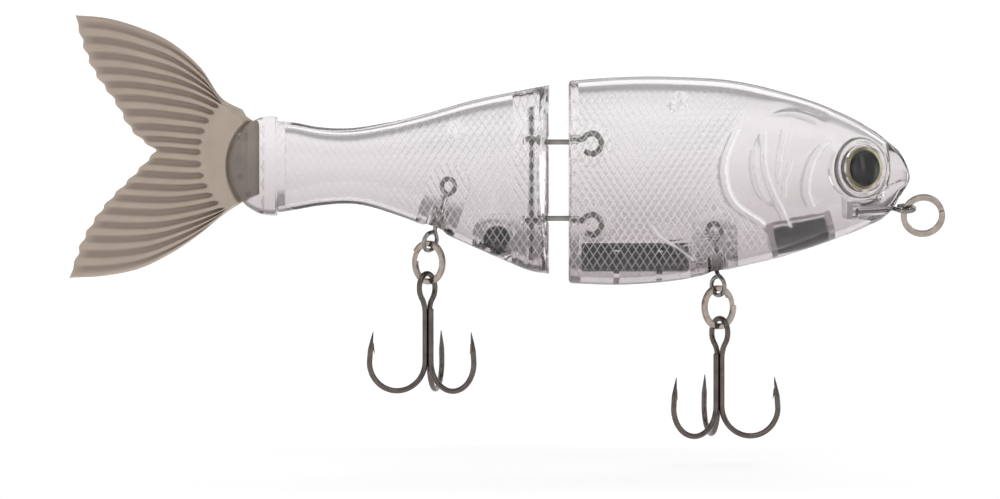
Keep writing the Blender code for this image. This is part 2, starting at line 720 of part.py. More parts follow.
def slugs():
    x, z, length, radius = BELLY_SLUG
    mesh = cylinder("front_ballast", (x - length / 2, 0, z), (x + length / 2, 0, z), radius, 24)
    smooth_shade(add_object("front_ballast", mesh, "ballast_steel"))
    x, z, length, radius, tilt = THROAT_SLUG
    along = Vector((math.cos(tilt), 0, math.sin(tilt))) * (length / 2)
    centre = Vector((x, 0, z))
    mesh = cylinder("throat_ballast", centre - along, centre + along, radius, 20)
    smooth_shade(add_object("throat_ballast", mesh, "ballast_steel"))


def rattle_ball(parent):
    x, z, radius = RATTLE
    bm = bmesh.new()
    bmesh.ops.create_uvsphere(bm, u_segments=16, v_segments=10, radius=radius)
    bmesh.ops.translate(bm, vec=(x, 0, z), verts=bm.verts)
    ball = add_object("rattle_ball", mesh_from(bm, "rattle_ball"), "ballast_steel")
    smooth_shade(ball)
    hang(ball, (x, 0, z), parent)


def stick_on_eye(side, label):
    """Foil disc in the socket with a clear resin dome on it."""
    outward = Vector((math.sin(EYE_YAW), side * math.cos(EYE_YAW), 0))
    floor = Vector((EYE_PLACE[0], side * SOCKET_CENTRE_Y, EYE_PLACE[1]))
    turn = outward.to_track_quat("Z", "Y").to_matrix().to_4x4()
    frame = Matrix.Translation((floor + outward * 0.1) * MM) @ turn
    disc = turned("eye_disc_" + label, [(0, 0.5), (EYE_RADIUS, 0.5), (EYE_RADIUS, 0), (0, 0)],
                  24, frame, "eye_foil")
    frame = Matrix.Translation((floor + outward * 0.7) * MM) @ turn
    profile = []
    for i in range(6):
        angle = math.radians(90 - 15 * i)
        profile.append((4.4 * math.cos(angle), 0.3 + 1.2 * math.sin(angle)))
    dome = turned("eye_dome_" + label, profile + [(4.4, 0.3), (4.4, 0), (0, 0)], 24, frame,
                  "eye_resin")
    smooth_shade(disc)
    smooth_shade(dome)


# ---------------------------------------------------------------- tail

def thickness_plan(points):
    """Closed plan outline, symmetric about y = 0, from (x, half thickness) front to back."""
    upper = [(x, half) for x, half in points]
    lower = [(x, -half) for x, half in reversed(points)]
    return upper + lower


def tail_root(parent):
    """Tongue that plugs in between the cheeks, swelling to the full root of the fin."""
    top_z, low_z = 17.6, 3.2
    tongue = [(TONGUE_FRONT_X, low_z), (TONGUE_FRONT_X, top_z), (-139.8, 19.6), (-140.6, 21.0)]
    rest = [p for p in TAIL_OUTLINE_TOP[1:] if p[0] > FLEX_X]
    edge_top = [(FLEX_X - 1, 31.2)]
    edge_low = [(FLEX_X - 1, -6.2)]
    low = [p for p in TAIL_OUTLINE_LOW if p[0] > FLEX_X]
    outline = tongue + rest + [(FLEX_X, 30.0)] + edge_top + edge_low + [(FLEX_X, -5.4)] + low
    mesh = prism("tail_root", outline, -TONGUE_HALF - 3, TONGUE_HALF + 3)
    root = add_object("tail_root", mesh, "soft_tail")
    plan = thickness_plan([(TONGUE_FRONT_X + 1, 3.7), (-143.6, 3.7), (-146.5, 2.6),
                           (FLEX_X, FLEX_HALF), (FLEX_X - 1, FLEX_HALF)])
    combine(root, guide(prism("tail_plan", plan, -10, 45, "Z")), "INTERSECT")
    x, z = CHEEK_CENTRE
    for side, label in ((1, "left"), (-1, "right")):
        cut(root, cylinder("cheek_room_" + label, (x, side * TONGUE_HALF, z), (x, side * 9, z), 1,
                           36, (CHEEK_SIZE[0] + 0.35, 1, CHEEK_SIZE[1] + 0.35)))
    cut(root, cylinder("flex_room", (FLEX_X, 0, -20), (FLEX_X, 0, 45), FLEX_HALF + 0.3, 24))
    cut(root, box("flex_trim", (FLEX_X - 5, -6, -20), (FLEX_X + 0.3, 6, 45)))
    hang(root, (-140, 0, 9), parent)
    return root


def tail_fin(parent):
    """Forked fin that flexes at its root about an upright line."""
    front_top = (FLEX_X + FLEX_HALF, 27.6)
    front_low = (FLEX_X + FLEX_HALF, -3.9)
    top = [p for p in TAIL_OUTLINE_TOP if p[0] <= FLEX_X]
    low = [p for p in TAIL_OUTLINE_LOW if p[0] <= FLEX_X]
    outline = [front_top] + top + TAIL_TRAIL + low + [front_low]
    fin = add_object("tail_fin", prism("tail_fin", outline, -3, 3), "soft_tail")
    knuckle = circle(Vector((FLEX_X, 0)), Vector((1, 0)), Vector((0, 1)), FLEX_HALF, 90, -90, 9)
    plan = [tuple(p) for p in knuckle] + [(-158, -1.4), (-168, -0.9), (-179, -0.55)]
    plan += [(-179, 0.55), (-168, 0.9), (-158, 1.4)]
    combine(fin, guide(prism("fin_plan", plan, -20, 45, "Z")), "INTERSECT")
    hang(fin, (FLEX_X, 0, 12), parent)
    return fin


# ---------------------------------------------------------------- assembly

def main():
    make_materials()
    for side, label in ((1, "left"), (-1, "right")):
        smooth_shade(front_shell(side, label))
        stick_on_eye(side, label)
    line_tie()
    nose_ring()
    slugs()
    joint_link("upper_joint_link", LINK_HEIGHTS[0])
    joint_link("lower_joint_link", LINK_HEIGHTS[1])
    rear = pivot_empty("rear_section_pivot", (PIN_X, 0, 0))
    for side, label in ((1, "left"), (-1, "right")):
        shell = rear_shell(side, label)
        smooth_shade(shell)
        hang(shell, (PIN_X, 0, 0), rear)
    hinge_pin(rear)
    rattle_ball(rear)
    for end, hanger, body in (("front", FRONT_HANGER, None), ("rear", REAR_HANGER, rear)):
        centre, _, _ = hanger_frame(hanger)
        turning = pivot_empty(end + "_hanger_pivot", centre, body)
        swivel(end + "_hanger", hanger, body, turning)
        hook_chain(end, hanger, turning)
    tail = pivot_empty("tail_pivot", (-140, 0, 9), rear)
    tail_root(tail)
    flex = pivot_empty("tail_flex_pivot", (FLEX_X, 0, 12), tail)
    tail_fin(flex)


main()
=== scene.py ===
"""Looks of the clear two-piece swimbait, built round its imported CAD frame.

Lengths are in millimetres in the tables and turned into metres as each mesh is made.
+X points to the nose, +Z to the back, and the origin is the centre of the line-tie eye.
"""

import json
import math

import bmesh
import bpy
import numpy as np
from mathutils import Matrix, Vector


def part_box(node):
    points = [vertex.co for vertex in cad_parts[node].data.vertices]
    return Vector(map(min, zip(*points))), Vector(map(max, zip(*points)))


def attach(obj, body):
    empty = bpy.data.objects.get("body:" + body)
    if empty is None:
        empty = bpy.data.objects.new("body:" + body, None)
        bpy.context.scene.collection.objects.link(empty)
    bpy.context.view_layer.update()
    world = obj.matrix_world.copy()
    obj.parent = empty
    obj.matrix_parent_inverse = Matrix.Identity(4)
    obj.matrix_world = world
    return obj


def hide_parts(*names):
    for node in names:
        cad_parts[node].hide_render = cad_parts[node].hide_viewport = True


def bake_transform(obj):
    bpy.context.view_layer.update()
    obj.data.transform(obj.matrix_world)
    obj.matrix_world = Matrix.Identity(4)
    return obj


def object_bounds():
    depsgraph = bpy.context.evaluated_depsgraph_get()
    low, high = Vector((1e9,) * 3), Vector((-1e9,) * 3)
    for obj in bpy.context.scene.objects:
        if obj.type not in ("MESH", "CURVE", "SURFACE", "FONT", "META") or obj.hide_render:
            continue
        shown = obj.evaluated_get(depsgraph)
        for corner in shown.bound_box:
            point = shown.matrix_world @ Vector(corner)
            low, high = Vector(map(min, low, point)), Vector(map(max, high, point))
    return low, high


MM = 0.001
UP = Vector((0, 0, 1))
NOSE_WARDS = Vector((1, 0, 0))
SIDES = ((1, "left"), (-1, "right"))

# Body outlines as (x, height or half-thickness), the same as the CAD's
FRONT_BACK_X = -71.5
NOSE_X = 0.9
REAR_FACE_X = -75.5
REAR_END_X = -136.9
WALL = 1.5
SEAM = 0.1
WIDEST_SHARE = 0.55
SECTION_POWER = 2.2
FRONT_TOP = [(-71.5, 27.1), (-60, 27.9), (-48, 27.9), (-36, 27.0), (-26, 24.7), (-16, 21.3),
             (-9, 17.9), (-3.5, 14.0), (-0.6, 11.0), (0.9, 7.8)]
FRONT_KEEL = [(-71.5, -15.9), (-60, -16.2), (-48, -15.2), (-36, -12.6), (-26, -10.2),
              (-16, -6.9), (-8, -3.7), (-4.6, -1.9), (-2.7, 0.0), (-1.2, 2.5), (0.9, 5.6)]
FRONT_WIDTH = [(-71.5, 10.2), (-50, 11.0), (-30, 10.7), (-20, 10.0), (-15, 9.0), (-9.5, 6.7),
               (-4.5, 4.0), (-1, 2.1), (0.9, 0.9)]
REAR_TOP = [(-136.9, 18.7), (-130, 18.3), (-124.6, 17.3), (-118.8, 17.0), (-110, 18.2),
            (-101.6, 20.2), (-92, 22.9), (-83, 24.8), (-75.5, 26.2)]
REAR_KEEL = [(-136.9, -1.4), (-130, -0.4), (-124, 0.6), (-116, 0.8), (-108, -1.4),
             (-99.7, -4.6), (-92, -8.0), (-84.5, -11.3), (-79, -13.4), (-75.5, -13.9)]
REAR_WIDTH = [(-136.9, 4.0), (-122, 4.7), (-110, 5.6), (-97, 7.3), (-85, 9.2), (-75.5, 10.0)]
FRONT_LINES = (FRONT_TOP, FRONT_KEEL, FRONT_WIDTH)
REAR_LINES = (REAR_TOP, REAR_KEEL, REAR_WIDTH)

# Fittings inside the shells
LINK_HEIGHTS = (14.1, -2.1)
LINK_PEG = (-66.4, 0.8)
LINK_BOSS = 4.2
LINK_ROOM = [(3.0, 0.95), (3.0, -0.95), (1.1, -0.95), (1.1, 0.95)]
LINK_ROOM_HALF = 0.95
FRONT_PEG = (-48.2, 22.4)
REAR_PEG = (-95.2, 16.4)
PEG_BOSS = 1.9
PIN_X = -79.2
PIN_BORE = (-9.9, 20.4, 0.73)
SWING_CLEARANCE = math.radians(44)
EYE_PLACE = (-9.6, 8.4)
EYE_YAW = math.radians(28)
SOCKET_RADIUS = 4.9
SOCKET_CENTRE_Y = 5.3
SOCKET_WALL = 1.4
SOCKET_REACH = 8
EYE_RADIUS = 4.55
LENS_RADIUS = 4.4
FRONT_HANGER = ((-39.75, -16.45), math.radians(-5), math.radians(-50))
REAR_HANGER = ((-100.8, -7.0), math.radians(19.5), math.radians(50))
INNER_EYE_HEIGHT = 12.7
HANGER_BOSS = 4.4
BELLY_SLUG = (-57.4, -10.3, 22.6, 3.0)
THROAT_SLUG = (-22.4, -5.3, 11.0, 2.3, math.radians(12))
THROAT_BOSS = 3.6
SLUG_GAP = 0.2
TIE_HOLE = 0.8
TIE_HEAD_ROOM = (-12.2, -10.6, 1.5)
RATTLE = (-86.1, -5.5, 2.7)
RATTLE_REACH = 1.0
RATTLE_BOSS = 4.5
RATTLE_ROOM = 3.1
CHEEK_CENTRE = (-134.3, 9.0)
CHEEK_SIZE = (8.9, 10.5)
CHEEK_OUTER_Y = 4.4
SLOT_HALF = 1.7
SLOT_END_X = -136.2
SLOT_BOX = ((-150, -SLOT_HALF, -8), (SLOT_END_X, SLOT_HALF, 28))
PAST_SEAM = 0.6
PAST_FLANK = 14
INSIDE_SEAM = -0.5

# Surface detail
GRID = 0.27
EDGE_ROUND = 0.8
NOSE_ROUND = 0.9
SCALE_PITCH = (1.62, 2.5)
SCALE_DEPTH = 0.02
# Strength of the painted highlight along the scale net
SCALE_PAINTED_SHINE = 0.42
SCALE_LINE = 0.14
GILL_EDGE = [(-33.2, 18.8), (-36.1, 16.4), (-37.6, 13.5), (-38.8, 10.1), (-38.8, 5.8), (-38.1, 3.1),
             (-36.4, 0.5), (-34.2, -1.1), (-31.7, -2.7), (-29.6, -4.6), (-28.3, -6.3)]
GILL_INNER = [(-32.1, 14.6), (-32.5, 9.4), (-32.1, 6.3), (-31.0, 3.1), (-28.7, 0.1)]
GILL_FOLD = [(-30.2, 19.4), (-30.6, 14.9), (-30.4, 8.0), (-28.7, 3.1), (-26.8, -0.5), (-24.9, -4.1),
             (-22.4, -5.9)]
CROWN_EDGE = [(-30.2, 19.4), (-27.7, 20.5), (-23.9, 20.9), (-20.9, 20.2), (-16.9, 18.3)]
CHEEK_FOLD = [(-25.3, 19.0), (-26.2, 14.9), (-27.2, 10.9), (-27.5, 8.0), (-28.0, 4.1)]
CHEEK_INNER = [(-24.7, 11.3), (-25.3, 8.0), (-26.2, 5.6), (-26.2, 3.5), (-26.4, 0.7)]
JOWL_EDGE = [(-14.7, 14.6), (-18.3, 13.0), (-19.8, 10.9), (-20.9, 8.0), (-21.5, 4.1), (-20.9, 1.4),
             (-18.8, -1.6)]
MOUTH = [(-0.6, 5.9), (-2.6, 5.1), (-4.6, 3.8), (-6.7, 2.2)]
# Each raised edge: points, height, steep and easy widths, strength of its painted highlight line
PLATES = ((GILL_EDGE, 0.32, 0.4, 2.4, 0.95), (GILL_INNER, 0.18, 0.35, 1.4, 0.5),
          (GILL_FOLD, 0.26, 0.4, 1.7, 0.7), (CROWN_EDGE, 0.16, 0.45, 1.6, 0.3),
          (CHEEK_FOLD, 0.16, 0.35, 1.0, 0.5), (CHEEK_INNER, 0.15, 0.35, 1.0, 0.45),
          (JOWL_EDGE, 0.20, 0.4, 1.8, 0.6), (MOUTH, -0.3, 0.28, 0.35, 0.3))
FIN_BASE = (-28.9, -5.6)
FIN_TRAIL = [(-54.2, -3.6), (-52.5, -5.8), (-49.9, -7.5), (-45.5, -10.7)]
FIN_RAYS = 8

# Wires, rings and hooks
EYE_WIRE = 0.475
OUTER_EYE = 2.02
INNER_EYE = 1.5
BARREL_HEIGHT = 5.5
BARREL_RADIUS = 1.85
LINK_WIRE = 0.58
LINK_PIN_EYE = 1.33
LINK_PEG_EYE = 2.0
TIE_WIRE = 0.5
TIE_EYE = 1.85
TIE_ROLL = math.radians(20)
RING_RADIUS = 4.05
RING_BAND = 1.3
RING_COIL = 0.48
RING_PITCH = 0.53
RING_TURNS = 1.92
RING_DROP = 2.5
NOSE_RING_DIP = math.radians(40)
HOOK_WIRE = 0.59
HOOK_EYE_WIDTH = 2.45
HOOK_EYE_HEIGHT = 3.1
HOOK_DROP = 5.4
HOOK_SHANK_END = 15.6
HOOK_BEND = 6.15
HOOK_POINT = (12.2, 9.1)
SHANK_OFFSET = 0.73

# Soft tail: outlines as (x, z), thickness as (x, half-thickness)
TAIL_TOP = [(-140.6, 21.0), (-144.2, 22.8), (-149.6, 30.0), (-156.3, 35.6), (-163.0, 38.6),
            (-170.0, 40.5), (-176.0, 41.0)]
TAIL_LOW = [(-141.3, 1.6), (-144.0, -0.6), (-149.6, -5.4), (-156.2, -9.8), (-162.0, -12.6),
            (-170.0, -14.3), (-177.3, -14.7)]
TAIL_TRAIL = [(-176.0, 41.0), (-175.0, 36.0), (-172.2, 28.9), (-168.0, 22.8), (-164.0, 16.2),
              (-159.2, 12.2), (-164.2, 6.9), (-170.3, 0.4), (-174.9, -7.0), (-177.3, -14.7)]
TONGUE_FRONT = [(-140.6, 21.0), (-139.8, 19.6), (-136.9, 17.6), (-136.9, 3.2), (-141.3, 1.6)]
TAIL_THICK = [(-180, 0.5), (-176, 0.62), (-168, 0.95), (-158, 1.4), (-151.4, 1.8), (-149.6, 1.85),
              (-146.5, 2.6), (-143.6, 3.6), (-136.5, 3.7)]
TONGUE_HALF = 1.35
FAN_CENTRE = (-134.3, 11.3)
FAN_RADIUS = 14.8
FAN_GROOVES = 19
TAIL_NOTCH = 5
TAIL_ROWS = 180
TAIL_COLUMNS = 240

# Grip teeth at the end of the tail slot, by height, and small pegs on one cheek, as (x, z)
GRIP_TEETH = (1.4, 5.1, 8.8, 12.5, 16.2)
GRIP_TOOTH_HALF = 1.4
GRIP_PEGS = ((-140.0, 14.9), (-140.9, 10.3), (-140.7, 6.7), (-139.0, 3.1))

# Camera and floor, in metres
CAMERA_PLACE = (-0.086, -0.707, -0.0087)
CAMERA_LENS = 120
CAMERA_SENSOR = 36
FLOOR_DROP = 0.006
FLOOR_SIZE = 3.0


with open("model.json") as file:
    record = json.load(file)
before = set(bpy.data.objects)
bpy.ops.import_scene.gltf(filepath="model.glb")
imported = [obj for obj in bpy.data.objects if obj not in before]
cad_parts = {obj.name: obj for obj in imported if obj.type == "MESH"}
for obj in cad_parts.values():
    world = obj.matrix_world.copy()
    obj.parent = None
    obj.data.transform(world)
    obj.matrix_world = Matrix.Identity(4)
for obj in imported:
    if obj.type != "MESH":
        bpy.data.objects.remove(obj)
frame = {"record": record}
cad_low, cad_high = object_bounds()
BODY_OF = {node: body for body, nodes in frame["record"]["behaviour"]["bodies"].items()
           for node in nodes}


# ---------------------------------------------------------------- meshes

def place_object(name, mesh, material, slot, *nodes):
    """Object for a mesh in metres that stands for CAD nodes and moves with their body."""
    obj = bpy.data.objects.new(name, mesh)
    bpy.context.scene.collection.objects.link(obj)
    obj.data.materials.clear()
    obj.data.materials.append(material)
    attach(obj, BODY_OF[nodes[0]])
    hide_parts(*nodes)
    return obj


def soften(mesh, angle=40):
    mesh.shade_smooth()
    mesh.set_sharp_from_angle(angle=math.radians(angle))
    return mesh


def mesh_of(bm, name):
    """Mesh in metres from a bmesh in millimetres, faces pointing out."""
    bmesh.ops.recalc_face_normals(bm, faces=bm.faces)
    bmesh.ops.scale(bm, vec=(MM, MM, MM), verts=bm.verts)
    mesh = bpy.data.meshes.new(name)
    bm.to_mesh(mesh)
    bm.free()
    return mesh


def grid_mesh(name, rings, closed=True, caps=True):
    """Skin over an array of rings of points in millimetres."""
    rings = np.asarray(rings, float)
    rows, count = rings.shape[:2]
    columns = np.arange(count if closed else count - 1)
    following = (columns + 1) % count
    faces = []
    for row in range(rows - 1):
        low, high = row * count, (row + 1) * count
        block = np.stack([low + columns, low + following, high + following, high + columns], 1)
        faces.extend(block.tolist())
    if caps:
        faces.append(list(range(count))[::-1])
        faces.append([(rows - 1) * count + i for i in range(count)])
    mesh = bpy.data.meshes.new(name)
    mesh.from_pydata((rings.reshape(-1, 3) * MM).tolist(), [], faces)
    bm = bmesh.new()
    bm.from_mesh(mesh)
    bmesh.ops.recalc_face_normals(bm, faces=bm.faces)
    bm.to_mesh(mesh)
    bm.free()
    return mesh


def box(low, high):
    bm = bmesh.new()
    bmesh.ops.create_cube(bm, size=1)
    bmesh.ops.scale(bm, vec=[b - a for a, b in zip(low, high)], verts=bm.verts)
    bmesh.ops.translate(bm, vec=[(a + b) / 2 for a, b in zip(low, high)], verts=bm.verts)
    return mesh_of(bm, "box")


def cylinder(start, end, radius, sides=40):
    start, end = Vector(start), Vector(end)
    bm = bmesh.new()
    bmesh.ops.create_cone(bm, cap_ends=True, segments=sides, radius1=radius, radius2=radius,
                          depth=(end - start).length)
    turn = (end - start).to_track_quat("Z", "Y").to_matrix().to_4x4()
    bmesh.ops.transform(bm, matrix=turn, verts=bm.verts)
    bmesh.ops.translate(bm, vec=(start + end) / 2, verts=bm.verts)
    return mesh_of(bm, "cylinder")


def prism(outline, low, high, axis="Y"):
    """Flat outline pushed along Y (outline in x, z) or along Z (outline in x, y)."""
    if axis == "Y":
        return grid_mesh("prism", [[(x, level, z) for x, z in outline] for level in (low, high)])
    return grid_mesh("prism", [[(x, y, level) for x, y in outline] for level in (low, high)])


def turned(profile, place, axis, sides=40):
    """Turned solid about an axis from a closed (radius, height) profile."""
    turn = Vector(axis).to_track_quat("Z", "Y").to_matrix()
    rings = []
    for i in range(sides + 1):
        angle = 2 * math.pi * i / sides
        spoke = Vector((math.cos(angle), math.sin(angle), 0))
        rings.append([Vector(place) + turn @ (spoke * radius + UP * height)
                      for radius, height in profile])
    mesh = grid_mesh("turned", rings, caps=False)
    bm = bmesh.new()
    bm.from_mesh(mesh)
    bmesh.ops.remove_doubles(bm, verts=bm.verts, dist=0.000002)
    bmesh.ops.delete(bm, geom=[edge for edge in bm.edges if edge.is_wire], context="EDGES")
    bmesh.ops.recalc_face_normals(bm, faces=bm.faces)
    bm.to_mesh(mesh)
    bm.free()
    return mesh


def carve(mesh, steps):
    """Mesh after a list of (operation, other mesh) Booleans."""
    base = bpy.data.objects.new("carved", mesh)
    bpy.context.scene.collection.objects.link(base)
    tools = []
    for operation, other in steps:
        tool = bpy.data.objects.new("tool", other)
        bpy.context.scene.collection.objects.link(tool)
        modifier = base.modifiers.new("cut", "BOOLEAN")
        modifier.operation = operation
        modifier.solver = "MANIFOLD"
        modifier.object = tool
        tools.append(tool)
    bpy.context.view_layer.update()
    result = bpy.data.meshes.new_from_object(
        base.evaluated_get(bpy.context.evaluated_depsgraph_get()))
    for obj in [base] + tools:
        bpy.data.objects.remove(obj)
    return result


def cut(mesh, tools):
    """Mesh with each tool taken away from it."""
    return carve(mesh, [("DIFFERENCE", tool) for tool in tools])


def arc(centre, across, up, radius, start, end, count):
    """Points on an arc in the plane of two unit vectors, angles in degrees."""
    angles = [math.radians(start + (end - start) * i / (count - 1)) for i in range(count)]
    return [centre + across * radius * math.cos(a) + up * radius * math.sin(a) for a in angles]


# ---------------------------------------------------------------- body surfaces

def follow(points, x):
    """Heights at x of the smooth curve through the outline points."""
    xs, ys = np.array(points, float).T
    slopes = np.gradient(ys, xs)
    i = np.clip(np.searchsorted(xs, x) - 1, 0, len(xs) - 2)
    span = xs[i + 1] - xs[i]
    t = np.clip((x - xs[i]) / span, 0, 1)
    value = (2 * t**3 - 3 * t**2 + 1) * ys[i] + (t**3 - 2 * t**2 + t) * span * slopes[i]
    return value + (3 * t**2 - 2 * t**3) * ys[i + 1] + (t**3 - t**2) * span * slopes[i + 1]


def half_section(lines, x, inset, inner_y, count):
    """count evenly spaced points (y, z) on one half section, from keel to back."""
    top = follow(lines[0], x) - inset
    keel = follow(lines[1], x) + inset
    width = max(follow(lines[2], x) - inset, inner_y + 0.05)
    middle = keel + WIDEST_SHARE * (top - keel)
    angle = np.linspace(-math.pi / 2, math.pi / 2, 241)
    power = 2 / SECTION_POWER
    y = inner_y + (width - inner_y) * np.abs(np.cos(angle)) ** power
    reach = np.where(angle > 0, top - middle, middle - keel)
    z = middle + reach * np.sign(angle) * np.abs(np.sin(angle)) ** power
    length = np.concatenate([[0], np.cumsum(np.hypot(np.diff(y), np.diff(z)))])
    even = np.linspace(0, length[-1], count)
    return np.interp(even, length, y), np.interp(even, length, z)


def half_solid(lines, stations, insets, inner_y, side, count, relief=None):
    """Closed half of the body, flat on the seam, with relief pushed out along the surface."""
    rings = np.zeros((len(stations), count, 3))
    for i, (x, inset) in enumerate(zip(stations, insets)):
        y, z = half_section(lines, x, inset, inner_y, count)
        rings[i] = np.stack([np.full(count, x), y, z], 1)
    marks = ()
    if relief:
        along, around = np.gradient(rings, axis=0), np.gradient(rings, axis=1)
        normal = np.cross(along, around)
        normal /= np.maximum(np.linalg.norm(normal, axis=2, keepdims=True), 1e-9)
        normal *= np.where(normal[:, count // 2, 1] < 0, -1, 1)[:, None, None]
        # The line mark holds painted highlight strength along raised edges, fin and eye rim; the net
        # mark is where the scales and their painted highlight net show
        height, line, net = relief(rings[..., 0], rings[..., 2])
        marks = (("line", line), ("net", net))
        rings += normal * height[..., None]
        rings[..., 1] = np.maximum(rings[..., 1], inner_y)
    rings[..., 1] *= side
    mesh = grid_mesh("half", rings)
    for name, values in marks:
        attribute = mesh.attributes.new(name, "FLOAT", "POINT")
        attribute.data.foreach_set("value", values.ravel().astype(np.float32))
    return mesh


def smooth_line(points, count=60):
    """Dense curve through a few given points, as an array."""
    points = np.array(points, float)
    at = np.concatenate([[0], np.cumsum(np.linalg.norm(np.diff(points, axis=0), axis=1))])
    fine = np.linspace(0, at[-1], count)
    columns = []
    for axis in range(points.shape[1]):
        table = list(zip(at, points[:, axis]))
        columns.append(np.array([follow(table, value) for value in fine]))
    return np.stack(columns, 1)


def plate_edge(x, z, points, height, sharp, soft):
    """Relief of a raised plate's edge: steep on its outer side, easing off on the other."""
    line = smooth_line(points)
    shape = x.shape
    x, z = x.ravel(), z.ravel()
    best = np.full(x.shape, 1e9)
    side, share = np.zeros(x.shape), np.zeros(x.shape)
    for i, (a, b) in enumerate(zip(line, line[1:])):
        d = b - a
        t = np.clip(((x - a[0]) * d[0] + (z - a[1]) * d[1]) / (d @ d), 0, 1)
        gap = np.hypot(x - a[0] - t * d[0], z - a[1] - t * d[1])
        nearer = gap < best
        best = np.where(nearer, gap, best)
        side = np.where(nearer, np.sign(d[0] * (z - a[1]) - d[1] * (x - a[0])), side)
        share = np.where(nearer, (i + t) / (len(line) - 1), share)
    width = np.where(side > 0, soft, sharp)
    fade = np.clip(np.minimum(share, 1 - share) / 0.12, 0, 1)
    return (height * fade * np.exp(-(best / width) ** 2)).reshape(shape)


def ease(low, high, value):
    t = np.clip((value - low) / (high - low), 0, 1)
    return t * t * (3 - 2 * t)


def scales(x, z):
    """Fine net of grooves round diamond scales."""
    u, v = x / SCALE_PITCH[0], z / SCALE_PITCH[1]
    lines = 0
    for family in (u + v, u - v):
        lines = lines + np.exp(-((family - np.round(family)) / SCALE_LINE) ** 2)
    return -np.minimum(lines, 1)


def front_relief(x, z):
    """Scales, gill plates, fin rays, eye rim and mouth of the front section, and their painted
    highlight lines.
    """
    height = follow_many(FRONT_TOP, x) - follow_many(FRONT_KEEL, x)
    level = (z - follow_many(FRONT_KEEL, x)) / height
    gill = np.interp(z, [p[1] for p in GILL_EDGE][::-1], [p[0] for p in GILL_EDGE][::-1])
    body = ease(0.6, 2.4, gill - x) * ease(0.03, 0.10, level) * ease(0.03, 0.10, 1 - level)
    relief = SCALE_DEPTH * body * scales(x, z)
    line = 0
    for points, rise, sharp, soft, painted_shine in PLATES:
        edge = plate_edge(x, z, points, 1.0, sharp, soft)
        relief = relief + rise * edge
        # Painted highlight along the crest of each plate edge
        line = np.maximum(line, painted_shine * ease(0.84, 1.0, edge))
    fin, fin_line = fin_relief(x, z)
    reach = np.hypot((x - EYE_PLACE[0] + 0.5) / math.cos(EYE_YAW), z - EYE_PLACE[1])
    rim = np.exp(-((reach - 5.9) / 0.45) ** 2)
    # The eye rim gets a painted highlight as well
    return relief + fin + 0.3 * rim, np.maximum(np.maximum(line, fin_line), 0.35 * rim), body


def fin_relief(x, z):
    """Side fin lying along the belly: rays spreading back from its root, with a raised rim, and painted
    highlights on the rim and rays.
    """
    trail = smooth_line(FIN_TRAIL)
    dx, dz = FIN_BASE[0] - x, z - FIN_BASE[1]
    slope = dz / np.maximum(dx, 0.5)
    slopes = (trail[:, 1] - FIN_BASE[1]) / (FIN_BASE[0] - trail[:, 0])
    order = np.argsort(slopes)
    end = np.interp(slope, slopes[order], (FIN_BASE[0] - trail[:, 0])[order])
    inside = ease(slopes.min() - 0.03, slopes.min() + 0.02, slope)
    inside = inside * ease(-slopes.max() - 0.03, -slopes.max() + 0.02, -slope)
    inside = inside * ease(0.5, 2.5, dx)
    rays = 0.5 + 0.5 * np.cos((slope - slopes.min()) / np.ptp(slopes) * 2 * math.pi * FIN_RAYS)
    plate = inside * ease(-0.3, 0.5, end - dx)
    rim = inside * np.exp(-((end - dx) / 0.4) ** 2)
    # Second value: painted highlights along the fin's rim and rays
    return plate * (0.08 + 0.16 * rays) + 0.18 * rim, np.maximum(0.75 * rim, 0.3 * plate * rays ** 6)


def follow_many(points, x):
    """follow() for an array whose x changes only from row to row."""
    values = np.array([follow(points, value) for value in x[:, 0]])
    return np.repeat(values[:, None], x.shape[1], axis=1)


def rear_relief(x, z):
    level = (z - follow_many(REAR_KEEL, x)) / (follow_many(REAR_TOP, x) - follow_many(REAR_KEEL, x))
    body = ease(0.03, 0.12, level) * ease(0.03, 0.12, 1 - level)
    net = body * (0.25 + 0.75 * ease(-118, -100, x))
    return SCALE_DEPTH * net * scales(x, z), np.zeros(x.shape), net


def stations_between(start, end, step, round_start=0.0, round_end=0.0):
    """Stations along the body and their insets, crowded where an end is rounded over."""
    xs, insets = [], []
    for i in range(7 if round_start else 0):
        angle = math.pi / 2 * i / 7
        xs.append(start + round_start * (1 - math.cos(angle)))
        insets.append(round_start * (1 - math.sin(angle)))
    first, last = start + round_start, end - round_end
    for x in np.linspace(first, last, int((last - first) / step) + 1):
        xs.append(float(x))
        insets.append(0.0)
    for i in range(7 if round_end else 0):
        angle = math.pi / 2 * (i + 1) / 7
        xs.append(last + round_end * math.sin(angle))
        insets.append(round_end * (1 - math.cos(angle)))
    return xs, insets


# ---------------------------------------------------------------- shells

def hanger_axes(hanger):
    """Outer eye centre, unit axis towards the body, and the eye's unit vector across."""
    (x, z), lean, turn = hanger
    axis = Vector((math.sin(lean), 0, math.cos(lean)))
    level = Vector((math.cos(lean), 0, -math.sin(lean)))
    across = level * math.cos(turn) + Vector((0, 1, 0)) * math.sin(turn)
    return Vector((x, 0, z)), axis, across


def across_half(side):
    """Low and high y of a cutter that spans one half of the body and a little past the seam."""
    return sorted((-side * PAST_SEAM, side * PAST_FLANK))


def hanger_boss(hanger, side):
    """Solid plastic round a hanger, from its inner eye down to its mouth."""
    centre, axis, _ = hanger_axes(hanger)
    flat = Vector((axis.z, 0, -axis.x))
    outline = []
    for end, start in ((centre + axis * INNER_EYE_HEIGHT, 0), (centre, 180)):
        outline += [(p.x, p.z) for p in arc(end, flat, axis, HANGER_BOSS, start, start + 180, 24)]
    return prism(outline, *across_half(side))


def peg_boss(place, side):
    """Boss for the peg that lines up the two halves."""
    x, z = place
    near, far = across_half(side)
    return cylinder((x, near, z), (x, far, z), PEG_BOSS)


